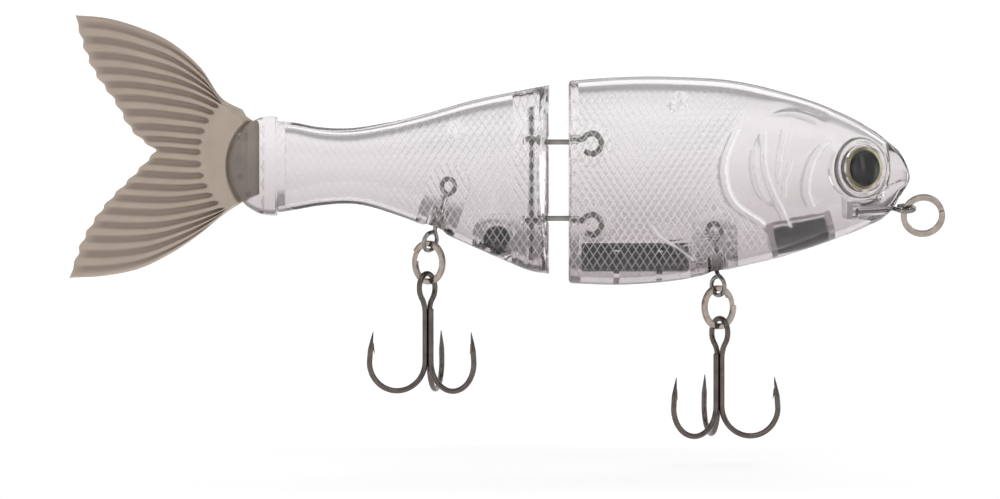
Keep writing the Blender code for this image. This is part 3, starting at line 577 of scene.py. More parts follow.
def hanger_rooms(hanger):
    """Room for the inner loop round its peg, the barrel, and the mouth for the outer eye."""
    centre, axis, _ = hanger_axes(hanger)
    inner = centre + axis * INNER_EYE_HEIGHT
    loop = [(2.4, 0.8), (2.4, -0.8), (0.75, -0.8), (0.75, 0.8)]
    room = [(0, INNER_EYE_HEIGHT - 1.2), (0.9, INNER_EYE_HEIGHT - 1.2), (0.9, 7.9), (2.2, 7.9),
            (2.2, 3.4), (3.0, 3.2), (3.0, -4), (0, -4)]
    return [turned(loop, inner, (0, 1, 0)), turned(room, centre, axis)]


def eye_axis(side):
    outward = Vector((math.sin(EYE_YAW), side * math.cos(EYE_YAW), 0))
    return Vector((EYE_PLACE[0], side * SOCKET_CENTRE_Y, EYE_PLACE[1])), outward


def throat_ends(past):
    """Ends of the throat weight, moved out along its axis by past."""
    x, z, length, _, tilt = THROAT_SLUG
    reach = Vector((math.cos(tilt), 0, math.sin(tilt))) * (length / 2 + past)
    centre = Vector((x, 0, z))
    return centre - reach, centre + reach


def front_cavity(side):
    """Hollow of one front half, less its bosses, ribs and eye socket."""
    near, far = across_half(side)
    solids = []
    for height in LINK_HEIGHTS:
        z = height - LINK_PEG[1]
        solids.append(cylinder((LINK_PEG[0], near, z), (LINK_PEG[0], far, z), LINK_BOSS))
    solids.append(hanger_boss(FRONT_HANGER, side))
    x, z, length, _ = BELLY_SLUG
    for station in (x - length / 2 - 0.8, x - 4, x + 5, x + length / 2 + 0.9):
        solids.append(box((station - 0.6, near, z - 8), (station + 0.6, far, z + 2.2)))
    solids.append(cylinder(*throat_ends(1.4), THROAT_BOSS))
    solids.append(box((-13.2, near, -2.0), (-4, far, 2.6)))
    solids.append(peg_boss(FRONT_PEG, side))
    floor, outward = eye_axis(side)
    solids.append(cylinder(floor - outward * SOCKET_WALL, floor + outward * SOCKET_REACH,
                           SOCKET_RADIUS + SOCKET_WALL))
    xs, _ = stations_between(FRONT_BACK_X + 2.1, -5.0, 1.0)
    hollow = half_solid(FRONT_LINES, xs, [WALL] * len(xs), INSIDE_SEAM, side, 60)
    return cut(hollow, solids)


def front_shell(side, label, material):
    xs, insets = stations_between(FRONT_BACK_X, NOSE_X, GRID, EDGE_ROUND, NOSE_ROUND)
    solid = half_solid(FRONT_LINES, xs, insets, SEAM, side, 190, front_relief)
    rooms = [front_cavity(side)]
    for height in LINK_HEIGHTS:
        rooms.append(turned(LINK_ROOM, (LINK_PEG[0], 0, height - LINK_PEG[1]), (0, 1, 0)))
        rooms.append(cylinder((LINK_PEG[0] - 0.5, 0, height), (FRONT_BACK_X - 2, 0, height),
                              LINK_ROOM_HALF))
    rooms += hanger_rooms(FRONT_HANGER)
    x, z, length, radius = BELLY_SLUG
    reach = length / 2 + SLUG_GAP
    rooms.append(cylinder((x - reach, 0, z), (x + reach, 0, z), radius + SLUG_GAP))
    rooms.append(cylinder(*throat_ends(SLUG_GAP), THROAT_SLUG[3] + SLUG_GAP))
    back, front, radius = TIE_HEAD_ROOM
    rooms.append(cylinder((back, 0, 0), (4, 0, 0), TIE_HOLE))
    rooms.append(cylinder((back, 0, 0), (front, 0, 0), radius))
    floor, outward = eye_axis(side)
    rooms.append(cylinder(floor, floor + outward * SOCKET_REACH, SOCKET_RADIUS, 64))
    mesh = soften(cut(solid, rooms))
    place_object("front_shell_skin_" + label, mesh, material, "clear_shell", "front_shell_" + label)


def rear_plan():
    """Plan of the rear section with its front face rounded so that it can swing."""
    face = []
    for i in range(25):
        y = -10.5 + 21 * i / 24
        face.append((REAR_FACE_X - 2.2 * (y / 9.8) ** 2, y))
    return [(-140, 12), (-140, -12)] + face


def rattle_outline(radius):
    """Side view of the rattle's chamber, or of the boss round it."""
    x, z, _ = RATTLE
    across, up = Vector((1, 0)), Vector((0, 1))
    ends = arc(Vector((x + RATTLE_REACH, z)), across, up, radius, -90, 90, 20)
    ends += arc(Vector((x - RATTLE_REACH, z)), across, up, radius, 90, 270, 20)
    return [tuple(point) for point in ends]


def link_slot_plan():
    """Slot round the link's eye, fanning out to the front so that the joint can swing."""
    edge = arc(Vector((PIN_X, 0)), Vector((1, 0)), Vector((0, 1)), 2.3, 60, 300, 25)
    spread = 1.0 + 6.0 * math.tan(SWING_CLEARANCE)
    return [(PIN_X + 6, spread)] + [tuple(p) for p in edge] + [(PIN_X + 6, -spread)]


def cheek(side):
    """Rounded fan-shaped plate at the end of the body, with its outer edge eased."""
    rings = []
    for y, share in ((1.0, 1.0), (3.0, 1.0), (3.5, 0.985), (3.9, 0.955), (4.2, 0.91),
                     (CHEEK_OUTER_Y, 0.84)):
        ring = []
        for i in range(96):
            angle = 2 * math.pi * (i + 0.5) / 96
            ring.append((CHEEK_CENTRE[0] + CHEEK_SIZE[0] * share * math.cos(angle), side * y,
                         CHEEK_CENTRE[1] + CHEEK_SIZE[1] * share * math.sin(angle)))
        rings.append(ring)
    return grid_mesh("cheek", rings)


def rear_cavity(side):
    """Hollow of one rear half, less its bosses."""
    solids = [hanger_boss(REAR_HANGER, side),
              prism(rattle_outline(RATTLE_BOSS), *across_half(side)),
              peg_boss(REAR_PEG, side)]
    xs, _ = stations_between(-131.5, PIN_X - 4.0, 1.0)
    hollow = half_solid(REAR_LINES, xs, [WALL] * len(xs), INSIDE_SEAM, side, 60)
    return cut(hollow, solids)


def rear_shell(side, label, material):
    xs, insets = stations_between(REAR_END_X, REAR_FACE_X + 0.2, GRID)
    solid = half_solid(REAR_LINES, xs, insets, SEAM, side, 160, rear_relief)
    plate = cut(cheek(side), [box((-133.4, -20, -20), (-100, 20, 40))])
    low, high, radius = PIN_BORE
    steps = [("INTERSECT", prism(rear_plan(), -20, 30, "Z")),
             ("DIFFERENCE", rear_cavity(side)),
             ("UNION", plate),
             ("DIFFERENCE", box(*SLOT_BOX)),
             ("DIFFERENCE", cylinder((PIN_X, 0, low), (PIN_X, 0, high), radius))]
    rooms = [prism(link_slot_plan(), height - LINK_ROOM_HALF, height + LINK_ROOM_HALF, "Z")
             for height in LINK_HEIGHTS]
    rooms += hanger_rooms(REAR_HANGER)
    rooms.append(prism(rattle_outline(RATTLE_ROOM), -3.4, 3.4))
    mesh = soften(carve(solid, steps + [("DIFFERENCE", room) for room in rooms]))
    place_object("rear_shell_skin_" + label, mesh, material, "clear_shell", "rear_shell_" + label)


# ---------------------------------------------------------------- wires

def wire_mesh(points, radius, sizes=None, sides=20):
    """Round wire along points, with sizes scaling its radius and its ends rounded over."""
    points = np.array([tuple(p) for p in points], float)
    sizes = np.ones(len(points)) if sizes is None else np.array(sizes, float)
    ways = np.gradient(points, axis=0)
    ways /= np.linalg.norm(ways, axis=1, keepdims=True)
    first = Vector(ways[0])
    across = first.orthogonal().normalized()
    rings = []
    for i, (point, way) in enumerate(zip(points, ways)):
        way = Vector(way)
        across = (across - way * across.dot(way)).normalized()
        up = way.cross(across)
        ring = []
        for k in range(sides):
            angle = 2 * math.pi * k / sides
            spoke = across * math.cos(angle) + up * math.sin(angle)
            ring.append(Vector(point) + spoke * radius * sizes[i])
        rings.append(ring)
    for end, way in ((0, -Vector(ways[0])), (-1, Vector(ways[-1]))):
        centre = Vector(points[end])
        caps = []
        for share in (0.35, 0.65, 0.88, 0.985):
            rise = way * radius * sizes[end] * share * 0.6
            caps.append([centre + (p - centre) * math.sqrt(1 - share * share) + rise
                         for p in rings[end]])
        rings = caps[::-1] + rings if end == 0 else rings + caps
    return grid_mesh("wire", [[tuple(p) for p in ring] for ring in rings])


def join(name, meshes):
    """One mesh from several."""
    bm = bmesh.new()
    for mesh in meshes:
        bm.from_mesh(mesh)
    joined = bpy.data.meshes.new(name)
    bm.to_mesh(joined)
    bm.free()
    return joined


def resample(points, step=0.25):
    """Points spread evenly along a chain of points."""
    points = np.array([tuple(p) for p in points], float)
    at = np.concatenate([[0], np.cumsum(np.linalg.norm(np.diff(points, axis=0), axis=1))])
    even = np.linspace(0, at[-1], max(int(at[-1] / step), 8))
    return np.stack([np.interp(even, at, points[:, i]) for i in range(3)], 1)


def rounded(points, passes=6):
    """Even chain with its corners eased by averaging neighbours."""
    points = np.array(points)
    for _ in range(passes):
        points[1:-1] = (points[:-2] + 2 * points[1:-1] + points[2:]) / 4
    return points


def rivet(centre, way, radius, thickness):
    """Round head at a shank's end, with its rims eased."""
    half = thickness / 2
    profile = [(0, half), (radius * 0.7, half), (radius * 0.93, half * 0.75), (radius, half * 0.3),
               (radius, -half * 0.3), (radius * 0.93, -half * 0.75), (radius * 0.7, -half), (0, -half)]
    return turned(profile, centre, way, 28)


def eye_with_shank(centre, axis, across, radius, shank_end):
    """Wire loop whose end runs on as a shank with a riveted head."""
    loop = arc(centre, across, axis, radius, 50 - 320, 50, 70)
    path = resample(loop + [centre + axis * (radius + 0.55), centre + axis * shank_end])
    shank = wire_mesh(rounded(path), EYE_WIRE)
    return [shank, rivet(centre + axis * (shank_end - 0.15), axis, 1.0, 0.3)]


def hangers(steel, barrel_finish):
    for name, hanger in (("front_hanger", FRONT_HANGER), ("rear_hanger", REAR_HANGER)):
        centre, axis, across = hanger_axes(hanger)
        inner = centre + axis * INNER_EYE_HEIGHT
        flat = Vector((axis.z, 0, -axis.x))
        mesh = join("inner", eye_with_shank(inner, -axis, flat, INNER_EYE, 6.0))
        place_object(name + "_inner_loop", soften(mesh), steel, "steel_wire", name + "_inner_eye")
        profile = [(0.75, 2.1), (1.1, 2.1), (1.35, 2.0), (1.6, 1.7), (BARREL_RADIUS - 0.05, 1.35),
                   (BARREL_RADIUS, 1.1), (BARREL_RADIUS - 0.06, 0.95), (BARREL_RADIUS - 0.06, -0.95),
                   (BARREL_RADIUS, -1.1), (BARREL_RADIUS - 0.05, -1.35), (1.6, -1.7), (1.35, -1.9),
                   (1.1, -2.0), (0.75, -2.0), (0.75, -1.4), (1.35, -1.2), (1.35, 1.5), (0.75, 1.7)]
        mesh = turned(profile, centre + axis * BARREL_HEIGHT, axis, 48)
        place_object(name + "_swivel_barrel", soften(mesh, 30), barrel_finish, "swivel_barrel",
                     name + "_barrel")
        mesh = join("outer", eye_with_shank(centre, axis, across, OUTER_EYE, 4.7))
        place_object(name + "_outer_loop", soften(mesh), steel, "steel_wire", name + "_eye")


def links_and_pin(steel):
    for label, height in zip(("upper", "lower"), LINK_HEIGHTS):
        level = Vector((0, 0, height))
        side = Vector((0, 1, 0))
        path = arc(level + Vector((PIN_X, 0, 0)), NOSE_WARDS, side, LINK_PIN_EYE, 62, 360, 50)
        path.append(path[-1] + NOSE_WARDS * 1.2)
        lift = math.degrees(math.asin(LINK_PEG[1] / LINK_PEG_EYE))
        centre = level + Vector((LINK_PEG[0], 0, -LINK_PEG[1]))
        path += arc(centre, NOSE_WARDS, UP, LINK_PEG_EYE, 180 - lift, -130, 60)
        mesh = soften(wire_mesh(rounded(resample(path, 0.2), 3), LINK_WIRE))
        place_object(label + "_link_wire", mesh, steel, "steel_wire", label + "_joint_link")
    low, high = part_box("hinge_pin")
    low, high, radius = low.z / MM, high.z / MM, (high.x - low.x) / 2 / MM
    profile = [(0, high), (radius * 0.6, high), (radius, high - 0.25), (radius, low + 0.25),
               (radius * 0.6, low), (0, low)]
    mesh = turned(profile, (PIN_X, 0, 0), UP, 32)
    place_object("hinge_pin_rod", soften(mesh), steel, "steel_wire", "hinge_pin")


def tie_across():
    return Vector((0, math.cos(TIE_ROLL), math.sin(TIE_ROLL)))


def line_tie(steel):
    loop = arc(Vector((0, 0, 0)), NOSE_WARDS, tie_across(), TIE_EYE, -140, 135, 60)
    path = [Vector((-11.2, 0, 0)), Vector((-TIE_EYE - 0.7, 0, 0))] + loop
    stem = wire_mesh(rounded(resample(path, 0.2), 4), TIE_WIRE)
    mesh = join("tie", [stem, rivet(Vector((-11.25, 0, 0)), NOSE_WARDS, 1.05, 0.7)])
    place_object("line_tie_wire", soften(mesh), steel, "steel_wire", "line_tie_eye")


def split_ring(name, centre, normal, up, material):
    """Flattened wire wound into nearly two turns, with its corners rolled over."""
    across = up.cross(normal).normalized()
    half, depth = RING_BAND / 2, RING_COIL / 2
    rings = []
    for i in range(241):
        turn = i / 240 * RING_TURNS
        angle = 2 * math.pi * turn + 0.6
        outward = across * math.cos(angle) + up * math.sin(angle)
        middle = centre + outward * RING_RADIUS + normal * ((turn - RING_TURNS / 2) * RING_PITCH)
        ring = []
        for k in range(16):
            bend = 2 * math.pi * (k + 0.5) / 16
            radial = math.copysign(abs(math.cos(bend)) ** 0.55, math.cos(bend))
            axial = math.copysign(abs(math.sin(bend)) ** 0.7, math.sin(bend))
            ring.append(tuple(middle + outward * half * radial + normal * depth * axial))
        rings.append(ring)
    mesh = soften(grid_mesh(name, rings), 50)
    place_object(name + "_coil", mesh, material, "ring_steel", name)


def nose_ring(material):
    place = Vector((TIE_EYE, 0, 0))
    across = tie_across()
    under = NOSE_WARDS.cross(across)
    out = NOSE_WARDS * math.cos(NOSE_RING_DIP) - under * math.sin(NOSE_RING_DIP)
    split_ring("nose_ring", place + out * RING_DROP, across, out, material)


def hook_side(top, outward, up):
    """Path and sizes of one hook from its shank's top down, and where its barb sits."""
    start = outward * SHANK_OFFSET
    centre = outward * (SHANK_OFFSET + HOOK_BEND) - up * HOOK_SHANK_END
    path = [start + up * top, start - up * (HOOK_SHANK_END - 0.5)]
    path += arc(centre, outward, -up, HOOK_BEND, 176, 2, 60)
    reach, depth = HOOK_POINT
    tip = outward * reach - up * depth
    last = path[-1]
    path += [last.lerp(tip, 0.5) + outward * 0.12, tip]
    path = rounded(resample(path, 0.22), 10)
    length = np.concatenate([[0], np.cumsum(np.linalg.norm(np.diff(path, axis=0), axis=1))])
    left = length[-1] - length
    sizes = np.clip(0.06 + (left / 4.2) ** 0.85 * 0.94, 0, 1)
    k = int(np.argmin(np.abs(left - 4.1)))
    way = Vector(path[k + 1] - path[k]).normalized()
    inward = (-outward - way * way.dot(-outward)).normalized()
    return path, sizes, (Vector(path[k]), way, inward)


def barb(place, way, inward):
    """Sliver cut up from the wire behind the point, leaning back inside the bend."""
    across = way.cross(inward)
    rings = []
    for share in (0.0, 0.3, 0.6, 0.85, 1.0):
        centre = place + way * (1.5 - 2.3 * share) + inward * (HOOK_WIRE * 0.45 + 0.75 * share)
        thick = 0.30 * (1 - share) + 0.03
        rings.append([tuple(centre + across * math.cos(a) * thick * 0.8 + inward * math.sin(a) * thick)
                      for a in np.linspace(0, 2 * math.pi, 12, endpoint=False)])
    return grid_mesh("barb", rings)


def treble(name, eye_centre, across, material):
    """Double hook bent from one wire round its eye, and a single hook along its shanks."""
    normal = across.cross(UP)
    left = across * -math.cos(math.radians(30)) - normal * 0.5
    right = across * math.cos(math.radians(30)) - normal * 0.5
    back = normal * (-0.5 * SHANK_OFFSET)
    loop = []
    for i in range(60):
        angle = math.radians(-60 + 300 * i / 59)
        loop.append(back + across * HOOK_EYE_WIDTH * math.cos(angle)
                    + UP * HOOK_EYE_HEIGHT * math.sin(angle))
    first, first_sizes, first_barb = hook_side(-4.6, left, UP)
    second, second_sizes, second_barb = hook_side(-4.6, right, UP)
    eye = resample([Vector(first[0])] + loop[::-1] + [Vector(second[0])], 0.22)
    path = np.concatenate([first[::-1], eye[1:-1], second])
    sizes = np.concatenate([first_sizes[::-1], np.ones(len(eye) - 2), second_sizes])
    middle = slice(len(first) - 14, len(first) + len(eye) + 12)
    path[middle] = rounded(path[middle], 8)
    meshes = [wire_mesh(path + np.array(eye_centre), HOOK_WIRE, sizes)]
    for place, way, inward in (first_barb, second_barb):
        meshes.append(barb(place + eye_centre, way, inward))
    place_object(name + "_two_hooks", soften(join("double", meshes)), material, "black_nickel",
                 name + "_double")
    path, sizes, (place, way, inward) = hook_side(-4.6, normal, UP)
    meshes = [wire_mesh(path + np.array(eye_centre), HOOK_WIRE, sizes),
              barb(place + eye_centre, way, inward)]
    place_object(name + "_third_hook", soften(join("single", meshes)), material, "black_nickel",
                 name + "_single")


def hook_chains(ring_finish, hook_finish):
    for name, hanger in (("front", FRONT_HANGER), ("rear", REAR_HANGER)):
        centre, axis, across = hanger_axes(hanger)
        normal = across.cross(axis).normalized()
        lowest = (-UP + normal * UP.dot(normal)).normalized()
        tangent = normal.cross(lowest).normalized()
        ring_centre = centre + lowest * OUTER_EYE - UP * RING_DROP
        split_ring(name + "_ring", ring_centre, tangent, UP, ring_finish)
        treble(name + "_treble", ring_centre - UP * HOOK_DROP, tangent, hook_finish)


# ---------------------------------------------------------------- ballast and eyes

def slug(name, centre, way, length, radius, material, node):
    """Turned metal slug with eased rims and a shallow dimple in each end."""
    half = length / 2
    profile = [(0, half - 0.12), (radius * 0.3, half - 0.06), (radius * 0.36, half),
               (radius - 0.35, half), (radius - 0.12, half - 0.08), (radius, half - 0.3)]
    profile += [(r, -h) for r, h in profile[::-1]]
    mesh = turned(profile, centre, way, 64)
    place_object(name, soften(mesh, 30), material, "ballast_steel", node)


def ballast(material):
    x, z, length, radius = BELLY_SLUG
    slug("belly_slug", Vector((x, 0, z)), NOSE_WARDS, length, radius, material, "front_ballast")
    x, z, length, radius, tilt = THROAT_SLUG
    way = Vector((math.cos(tilt), 0, math.sin(tilt)))
    slug("throat_slug", Vector((x, 0, z)), way, length, radius, material, "throat_ballast")
    x, z, radius = RATTLE
    profile = [(radius * math.cos(a), radius * math.sin(a))
               for a in np.linspace(math.pi / 2, -math.pi / 2, 33)]
    mesh = turned(profile, (x, 0, z), UP, 64)
    place_object("rattle_bead", soften(mesh), material, "ballast_steel", "rattle_ball")


def stick_on_eyes(foil, resin):
    """Foil discs with a raised rim, under clear resin domes."""
    for side, label in SIDES:
        floor, outward = eye_axis(side)
        rim = [(0, 0.30), (3.5, 0.30), (3.62, 0.42), (4.3, 0.46), (EYE_RADIUS - 0.06, 0.40),
               (EYE_RADIUS, 0.25), (EYE_RADIUS, 0.05), (EYE_RADIUS - 0.05, 0), (0, 0)]
        mesh = soften(turned(rim, floor + outward * 0.1, outward, 96), 50)
        disc = place_object("eye_foil_" + label, mesh, foil, "eye_foil", "eye_disc_" + label)
        radial_map(disc, floor + outward * 0.1, outward)
        dome = [(r, 0.12 + 1.35 * (1 - (r / LENS_RADIUS) ** 2) ** 0.8)
                for r in np.linspace(0, LENS_RADIUS, 30)]
        dome += [(4.35, 0.02), (0, 0.02)]
        mesh = soften(turned(dome, floor + outward * 0.7, outward, 96), 50)
        place_object("eye_lens_" + label, mesh, resin, "eye_resin", "eye_dome_" + label)


def radial_map(obj, centre, axis):
    """Distance of each point from the disc's axis, in millimetres, for its printed rings."""
    attribute = obj.data.attributes.new("from_centre", "FLOAT", "POINT")
    values = []
    for vertex in obj.data.vertices:
        arm = obj.matrix_world @ vertex.co / MM - centre
        values.append((arm - axis * arm.dot(axis)).length)
    attribute.data.foreach_set("value", values)


# ---------------------------------------------------------------- tail

def chain_at(points, shares):
    """Points at shares of the way along a chain of straight runs."""
    points = np.array(points, float)
    at = np.concatenate([[0], np.cumsum(np.linalg.norm(np.diff(points, axis=0), axis=1))])
    at /= at[-1]
    return np.stack([np.interp(shares, at, points[:, i]) for i in (0, 1)], 1)


def tail_plan(along, across):
    """Side view of the tail as a grid of (x, z) between its four outlines, and its height."""
    s, t = along[:, 0], across[0]
    top, low = chain_at(smooth_line(TAIL_TOP, 200), s), chain_at(smooth_line(TAIL_LOW, 200), s)
    front = chain_at(TONGUE_FRONT, t)
    upper = smooth_line(TAIL_TRAIL[:TAIL_NOTCH + 1], 100)
    lower = smooth_line(TAIL_TRAIL[TAIL_NOTCH:], 100)
    trail = chain_at(np.concatenate([upper, lower[1:]]), t)
    plan = np.zeros((*along.shape, 2))
    for i in (0, 1):
        plan[..., i] = ((1 - across) * top[:, i][:, None] + across * low[:, i][:, None]
                        + (1 - along) * front[:, i][None] + along * trail[:, i][None]
                        - (1 - along) * (1 - across) * front[0, i]
                        - (1 - along) * across * front[-1, i]
                        - along * (1 - across) * trail[0, i] - along * across * trail[-1, i])
    return plan, np.linalg.norm(top - low, axis=1)[:, None]


def tail_relief(plan, span, along, across, groove):
    """Half-thickness of the tail over its plan, and how deep each point is in a groove."""
    x, z = plan[..., 0], plan[..., 1]
    half = np.interp(x, [p[0] for p in TAIL_THICK], [p[1] for p in TAIL_THICK])
    oval = np.hypot((x - CHEEK_CENTRE[0]) / (CHEEK_SIZE[0] + 0.5),
                    (z - CHEEK_CENTRE[1]) / (CHEEK_SIZE[1] + 0.5))
    bead = 1.0 + (TONGUE_HALF - 1.0) * np.maximum(ease(-139.6, -139.2, x), ease(-140, -142, x))
    half = bead + (half - bead) * ease(0.985, 1.035, oval)
    fan = np.hypot(x - FAN_CENTRE[0], z - FAN_CENTRE[1])
    start = FAN_RADIUS + 0.9 * (1 - groove)
    depth = ease(0, 0.7, fan - start) * (1 - 0.7 * ease(0.92, 1.0, along))
    pitch = np.linalg.norm(np.gradient(plan, across[0], axis=1), axis=2) / FAN_GROOVES
    depth = depth * ease(0.0, 0.035, np.minimum(across, 1 - across)) * ease(1.2, 1.9, pitch)
    inside = ease(0.15, 0.85, groove) * depth
    half = half * (1 - 0.45 * inside)
    edge = np.minimum(np.minimum(across, 1 - across) * span, np.minimum(along, 1 - along) * 38)
    half = half * np.sqrt(1 - (1 - np.clip(edge / np.maximum(half, 0.3), 0, 1)) ** 2)
    return half, inside


def tail_skin(x, z, half, inside):
    """Closed skin of both sides of the tail, which share their rim, marked where it is grooved."""
    bm = bmesh.new()
    sides = []
    for side in (1, -1):
        rows = []
        for i in range(TAIL_ROWS):
            row = []
            for k in range(TAIL_COLUMNS):
                rim = i in (0, TAIL_ROWS - 1) or k in (0, TAIL_COLUMNS - 1)
                if rim and side < 0:
                    row.append(sides[0][i][k])
                else:
                    row.append(bm.verts.new((x[i, k], 0 if rim else side * half[i, k], z[i, k])))
            rows.append(row)
        sides.append(rows)
    for rows in sides:
        for i in range(TAIL_ROWS - 1):
            for k in range(TAIL_COLUMNS - 1):
                bm.faces.new((rows[i][k], rows[i + 1][k], rows[i + 1][k + 1], rows[i][k + 1]))
    bm.verts.index_update()
    marks = [0.0] * len(bm.verts)
    for rows in sides:
        for i in range(TAIL_ROWS):
            for k in range(TAIL_COLUMNS):
                marks[rows[i][k].index] = float(inside[i, k])
    mesh = mesh_of(bm, "tail")
    attribute = mesh.attributes.new("groove", "FLOAT", "POINT")
    attribute.data.foreach_set("value", marks)
    return mesh


def soft_tail(material):
    """Ribbed forked tail, with the thin tongue that plugs in between the cheeks."""
    along, across = np.meshgrid(np.linspace(0, 1, TAIL_ROWS), np.linspace(0, 1, TAIL_COLUMNS),
                                indexing="ij")
    plan, span = tail_plan(along, across)
    groove = 0.5 - 0.5 * np.cos(2 * math.pi * (across * FAN_GROOVES))
    corner = np.minimum(1, 12 * np.minimum(across, 1 - across))
    plan[..., 0] += ease(0.93, 1.0, along) * 0.55 * groove * corner
    half, inside = tail_relief(plan, span, along, across, groove)
    mesh = tail_skin(plan[..., 0], plan[..., 1], half, inside)
    obj = bpy.data.objects.new("soft_tail", soften(mesh, 60))
    bpy.context.scene.collection.objects.link(obj)
    mesh.materials.append(material)
    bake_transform(obj)
    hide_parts("tail_root", "tail_fin")


def slot_grips(material):
    """Teeth along the end of the tail slot and small pegs on one cheek, which bite into the tongue."""
    meshes = []
    for height in GRIP_TEETH:
        outline = [(SLOT_END_X + 0.3, height - GRIP_TOOTH_HALF), (SLOT_END_X - 0.45, height),
                   (SLOT_END_X + 0.3, height + GRIP_TOOTH_HALF)]
        meshes.append(prism(outline, -SLOT_HALF + 0.1, SLOT_HALF - 0.1))
    profile = [(0, 0.18), (0.35, 0.14), (0.6, 0.0), (0.62, -0.2), (0, -0.2)]
    for x, z in GRIP_PEGS:
        meshes.append(turned(profile, (x, -SLOT_HALF, z), (0, 1, 0), 24))
    mesh = soften(join("grips", meshes), 30)
    grips = bpy.data.objects.new("slot_grips", mesh)
    bpy.context.scene.collection.objects.link(grips)
    mesh.materials.append(material)
    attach(grips, "rear_section")


# ---------------------------------------------------------------- materials

def new_material(name):
    material = bpy.data.materials.new(name)
    material.use_nodes = True
    return material, material.node_tree, material.node_tree.nodes["Principled BSDF"]


def attribute_node(tree, name):
    node = tree.nodes.new("ShaderNodeAttribute")
    node.attribute_name = name
    return node.outputs["Fac"]


def noise(tree, scale, detail=4.0):
    """Noise over the piece's own coordinates, in metres."""
    place = tree.nodes.new("ShaderNodeTexCoord").outputs["Object"]
    node = tree.nodes.new("ShaderNodeTexNoise")
    node.inputs["Scale"].default_value = scale
    node.inputs["Detail"].default_value = detail
    tree.links.new(place, node.inputs["Vector"])
    return node.outputs["Fac"]


def ramp(tree, factor, *stops):
    node = tree.nodes.new("ShaderNodeValToRGB")
    elements = node.color_ramp.elements
    while len(elements) < len(stops):
        elements.new(0.5)
    for element, (position, colour) in zip(elements, stops):
        element.position = position
        element.color = (*colour, 1)
    tree.links.new(factor, node.inputs["Fac"])
    return node.outputs["Color"]


def bump(tree, shader, height, strength, distance):
    node = tree.nodes.new("ShaderNodeBump")
    node.inputs["Strength"].default_value = strength
    node.inputs["Distance"].default_value = distance
    tree.links.new(height, node.inputs["Height"])
    tree.links.new(node.outputs["Normal"], shader.inputs["Normal"])


def value(tree, operation, *inputs):
    """Output of one maths step on sockets and numbers."""
    node = tree.nodes.new("ShaderNodeMath")
    node.operation = operation
    for socket, given in zip(node.inputs, inputs):
        if isinstance(given, (int, float)):
            socket.default_value = given
        else:
            tree.links.new(given, socket)
    return node.outputs["Value"]


def between(tree, given, low, high, to_low, to_high):
    """Smooth step from one number to another while given runs from low to high."""
    node = tree.nodes.new("ShaderNodeMapRange")
    node.interpolation_type = "SMOOTHSTEP"
    for name, number in (("From Min", low), ("From Max", high), ("To Min", to_low),
                         ("To Max", to_high)):
        node.inputs[name].default_value = number
    tree.links.new(given, node.inputs["Value"])
    return node.outputs["Result"]


def painted_scale_net(tree, place):
    """Painted highlight: fine bright net along the edges of the diamond scales."""
    across = value(tree, "DIVIDE", place.outputs["X"], SCALE_PITCH[0] * MM)
    up = value(tree, "DIVIDE", place.outputs["Z"], SCALE_PITCH[1] * MM)
    gaps = [value(tree, "PINGPONG", value(tree, operation, across, up), 0.5)
            for operation in ("ADD", "SUBTRACT")]
    nearest = value(tree, "MINIMUM", *gaps)
    return between(tree, nearest, 0.02, SCALE_LINE, SCALE_PAINTED_SHINE, 0.0)


def metal(name, dark, light, roughness, scratch=0.15):
    """Drawn or turned metal: slow colour drift, uneven polish and fine scratches."""
    material, tree, shader = new_material(name)
    shader.inputs["Metallic"].default_value = 1.0
    colour = ramp(tree, noise(tree, 700.0), (0.3, dark), (0.7, light))
    tree.links.new(colour, shader.inputs["Base Color"])
    low, high = roughness
    polish = ramp(tree, noise(tree, 1500.0), (0.3, (low,) * 3), (0.7, (high,) * 3))
    tree.links.new(polish, shader.inputs["Roughness"])
    bump(tree, shader, noise(tree, 3500.0, 6.0), scratch, 0.00003)
    return material


def tail_rubber():
    """Soft translucent rubber, with painted shade making it darker down in the grooves, and clearer at
    the thin rim.
    """
    material, tree, shader = new_material("soft tail rubber")
    mix = tree.nodes.new("ShaderNodeMix")
    mix.data_type = "RGBA"
    tone = ramp(tree, noise(tree, 160.0), (0.3, (0.395, 0.325, 0.265)), (0.7, (0.445, 0.37, 0.305)))
    tree.links.new(attribute_node(tree, "groove"), mix.inputs["Factor"])
    tree.links.new(tone, mix.inputs["A"])
    # Painted shade: darker colour down in the grooves
    mix.inputs["B"].default_value = (0.27, 0.215, 0.178, 1)
    tree.links.new(mix.outputs["Result"], shader.inputs["Base Color"])
    shader.inputs["Roughness"].default_value = 0.42
    shader.inputs["Subsurface Weight"].default_value = 0.35
    shader.inputs["Subsurface Radius"].default_value = (0.0012, 0.001, 0.0009)
    shader.inputs["Subsurface Scale"].default_value = 1.0
    bump(tree, shader, noise(tree, 1800.0), 0.15, 0.00005)
    return material


def eye_foil():
    """Black centre with silver flecks, inside a pale gold rim."""
    material, tree, shader = new_material("eye foil")
    flecks = ramp(tree, noise(tree, 2600.0, 8.0), (0.64, (0.008, 0.008, 0.01)),
                  (0.74, (0.14, 0.135, 0.13)))
    rim = tree.nodes.new("ShaderNodeMath")
    rim.operation = "GREATER_THAN"
    rim.inputs[1].default_value = 3.6
    tree.links.new(attribute_node(tree, "from_centre"), rim.inputs[0])
    mix = tree.nodes.new("ShaderNodeMix")
    mix.data_type = "RGBA"
    tree.links.new(rim.outputs["Value"], mix.inputs["Factor"])
    tree.links.new(flecks, mix.inputs["A"])
    gold = ramp(tree, noise(tree, 900.0), (0.3, (0.50, 0.43, 0.27)), (0.7, (0.74, 0.67, 0.48)))
    tree.links.new(gold, mix.inputs["B"])
    tree.links.new(mix.outputs["Result"], shader.inputs["Base Color"])
    tree.links.new(rim.outputs["Value"], shader.inputs["Metallic"])
    shader.inputs["Roughness"].default_value = 0.32
    shader.inputs["Specular IOR Level"].default_value = 0.06
    bump(tree, shader, noise(tree, 2600.0, 8.0), 0.3, 0.0001)
    return material


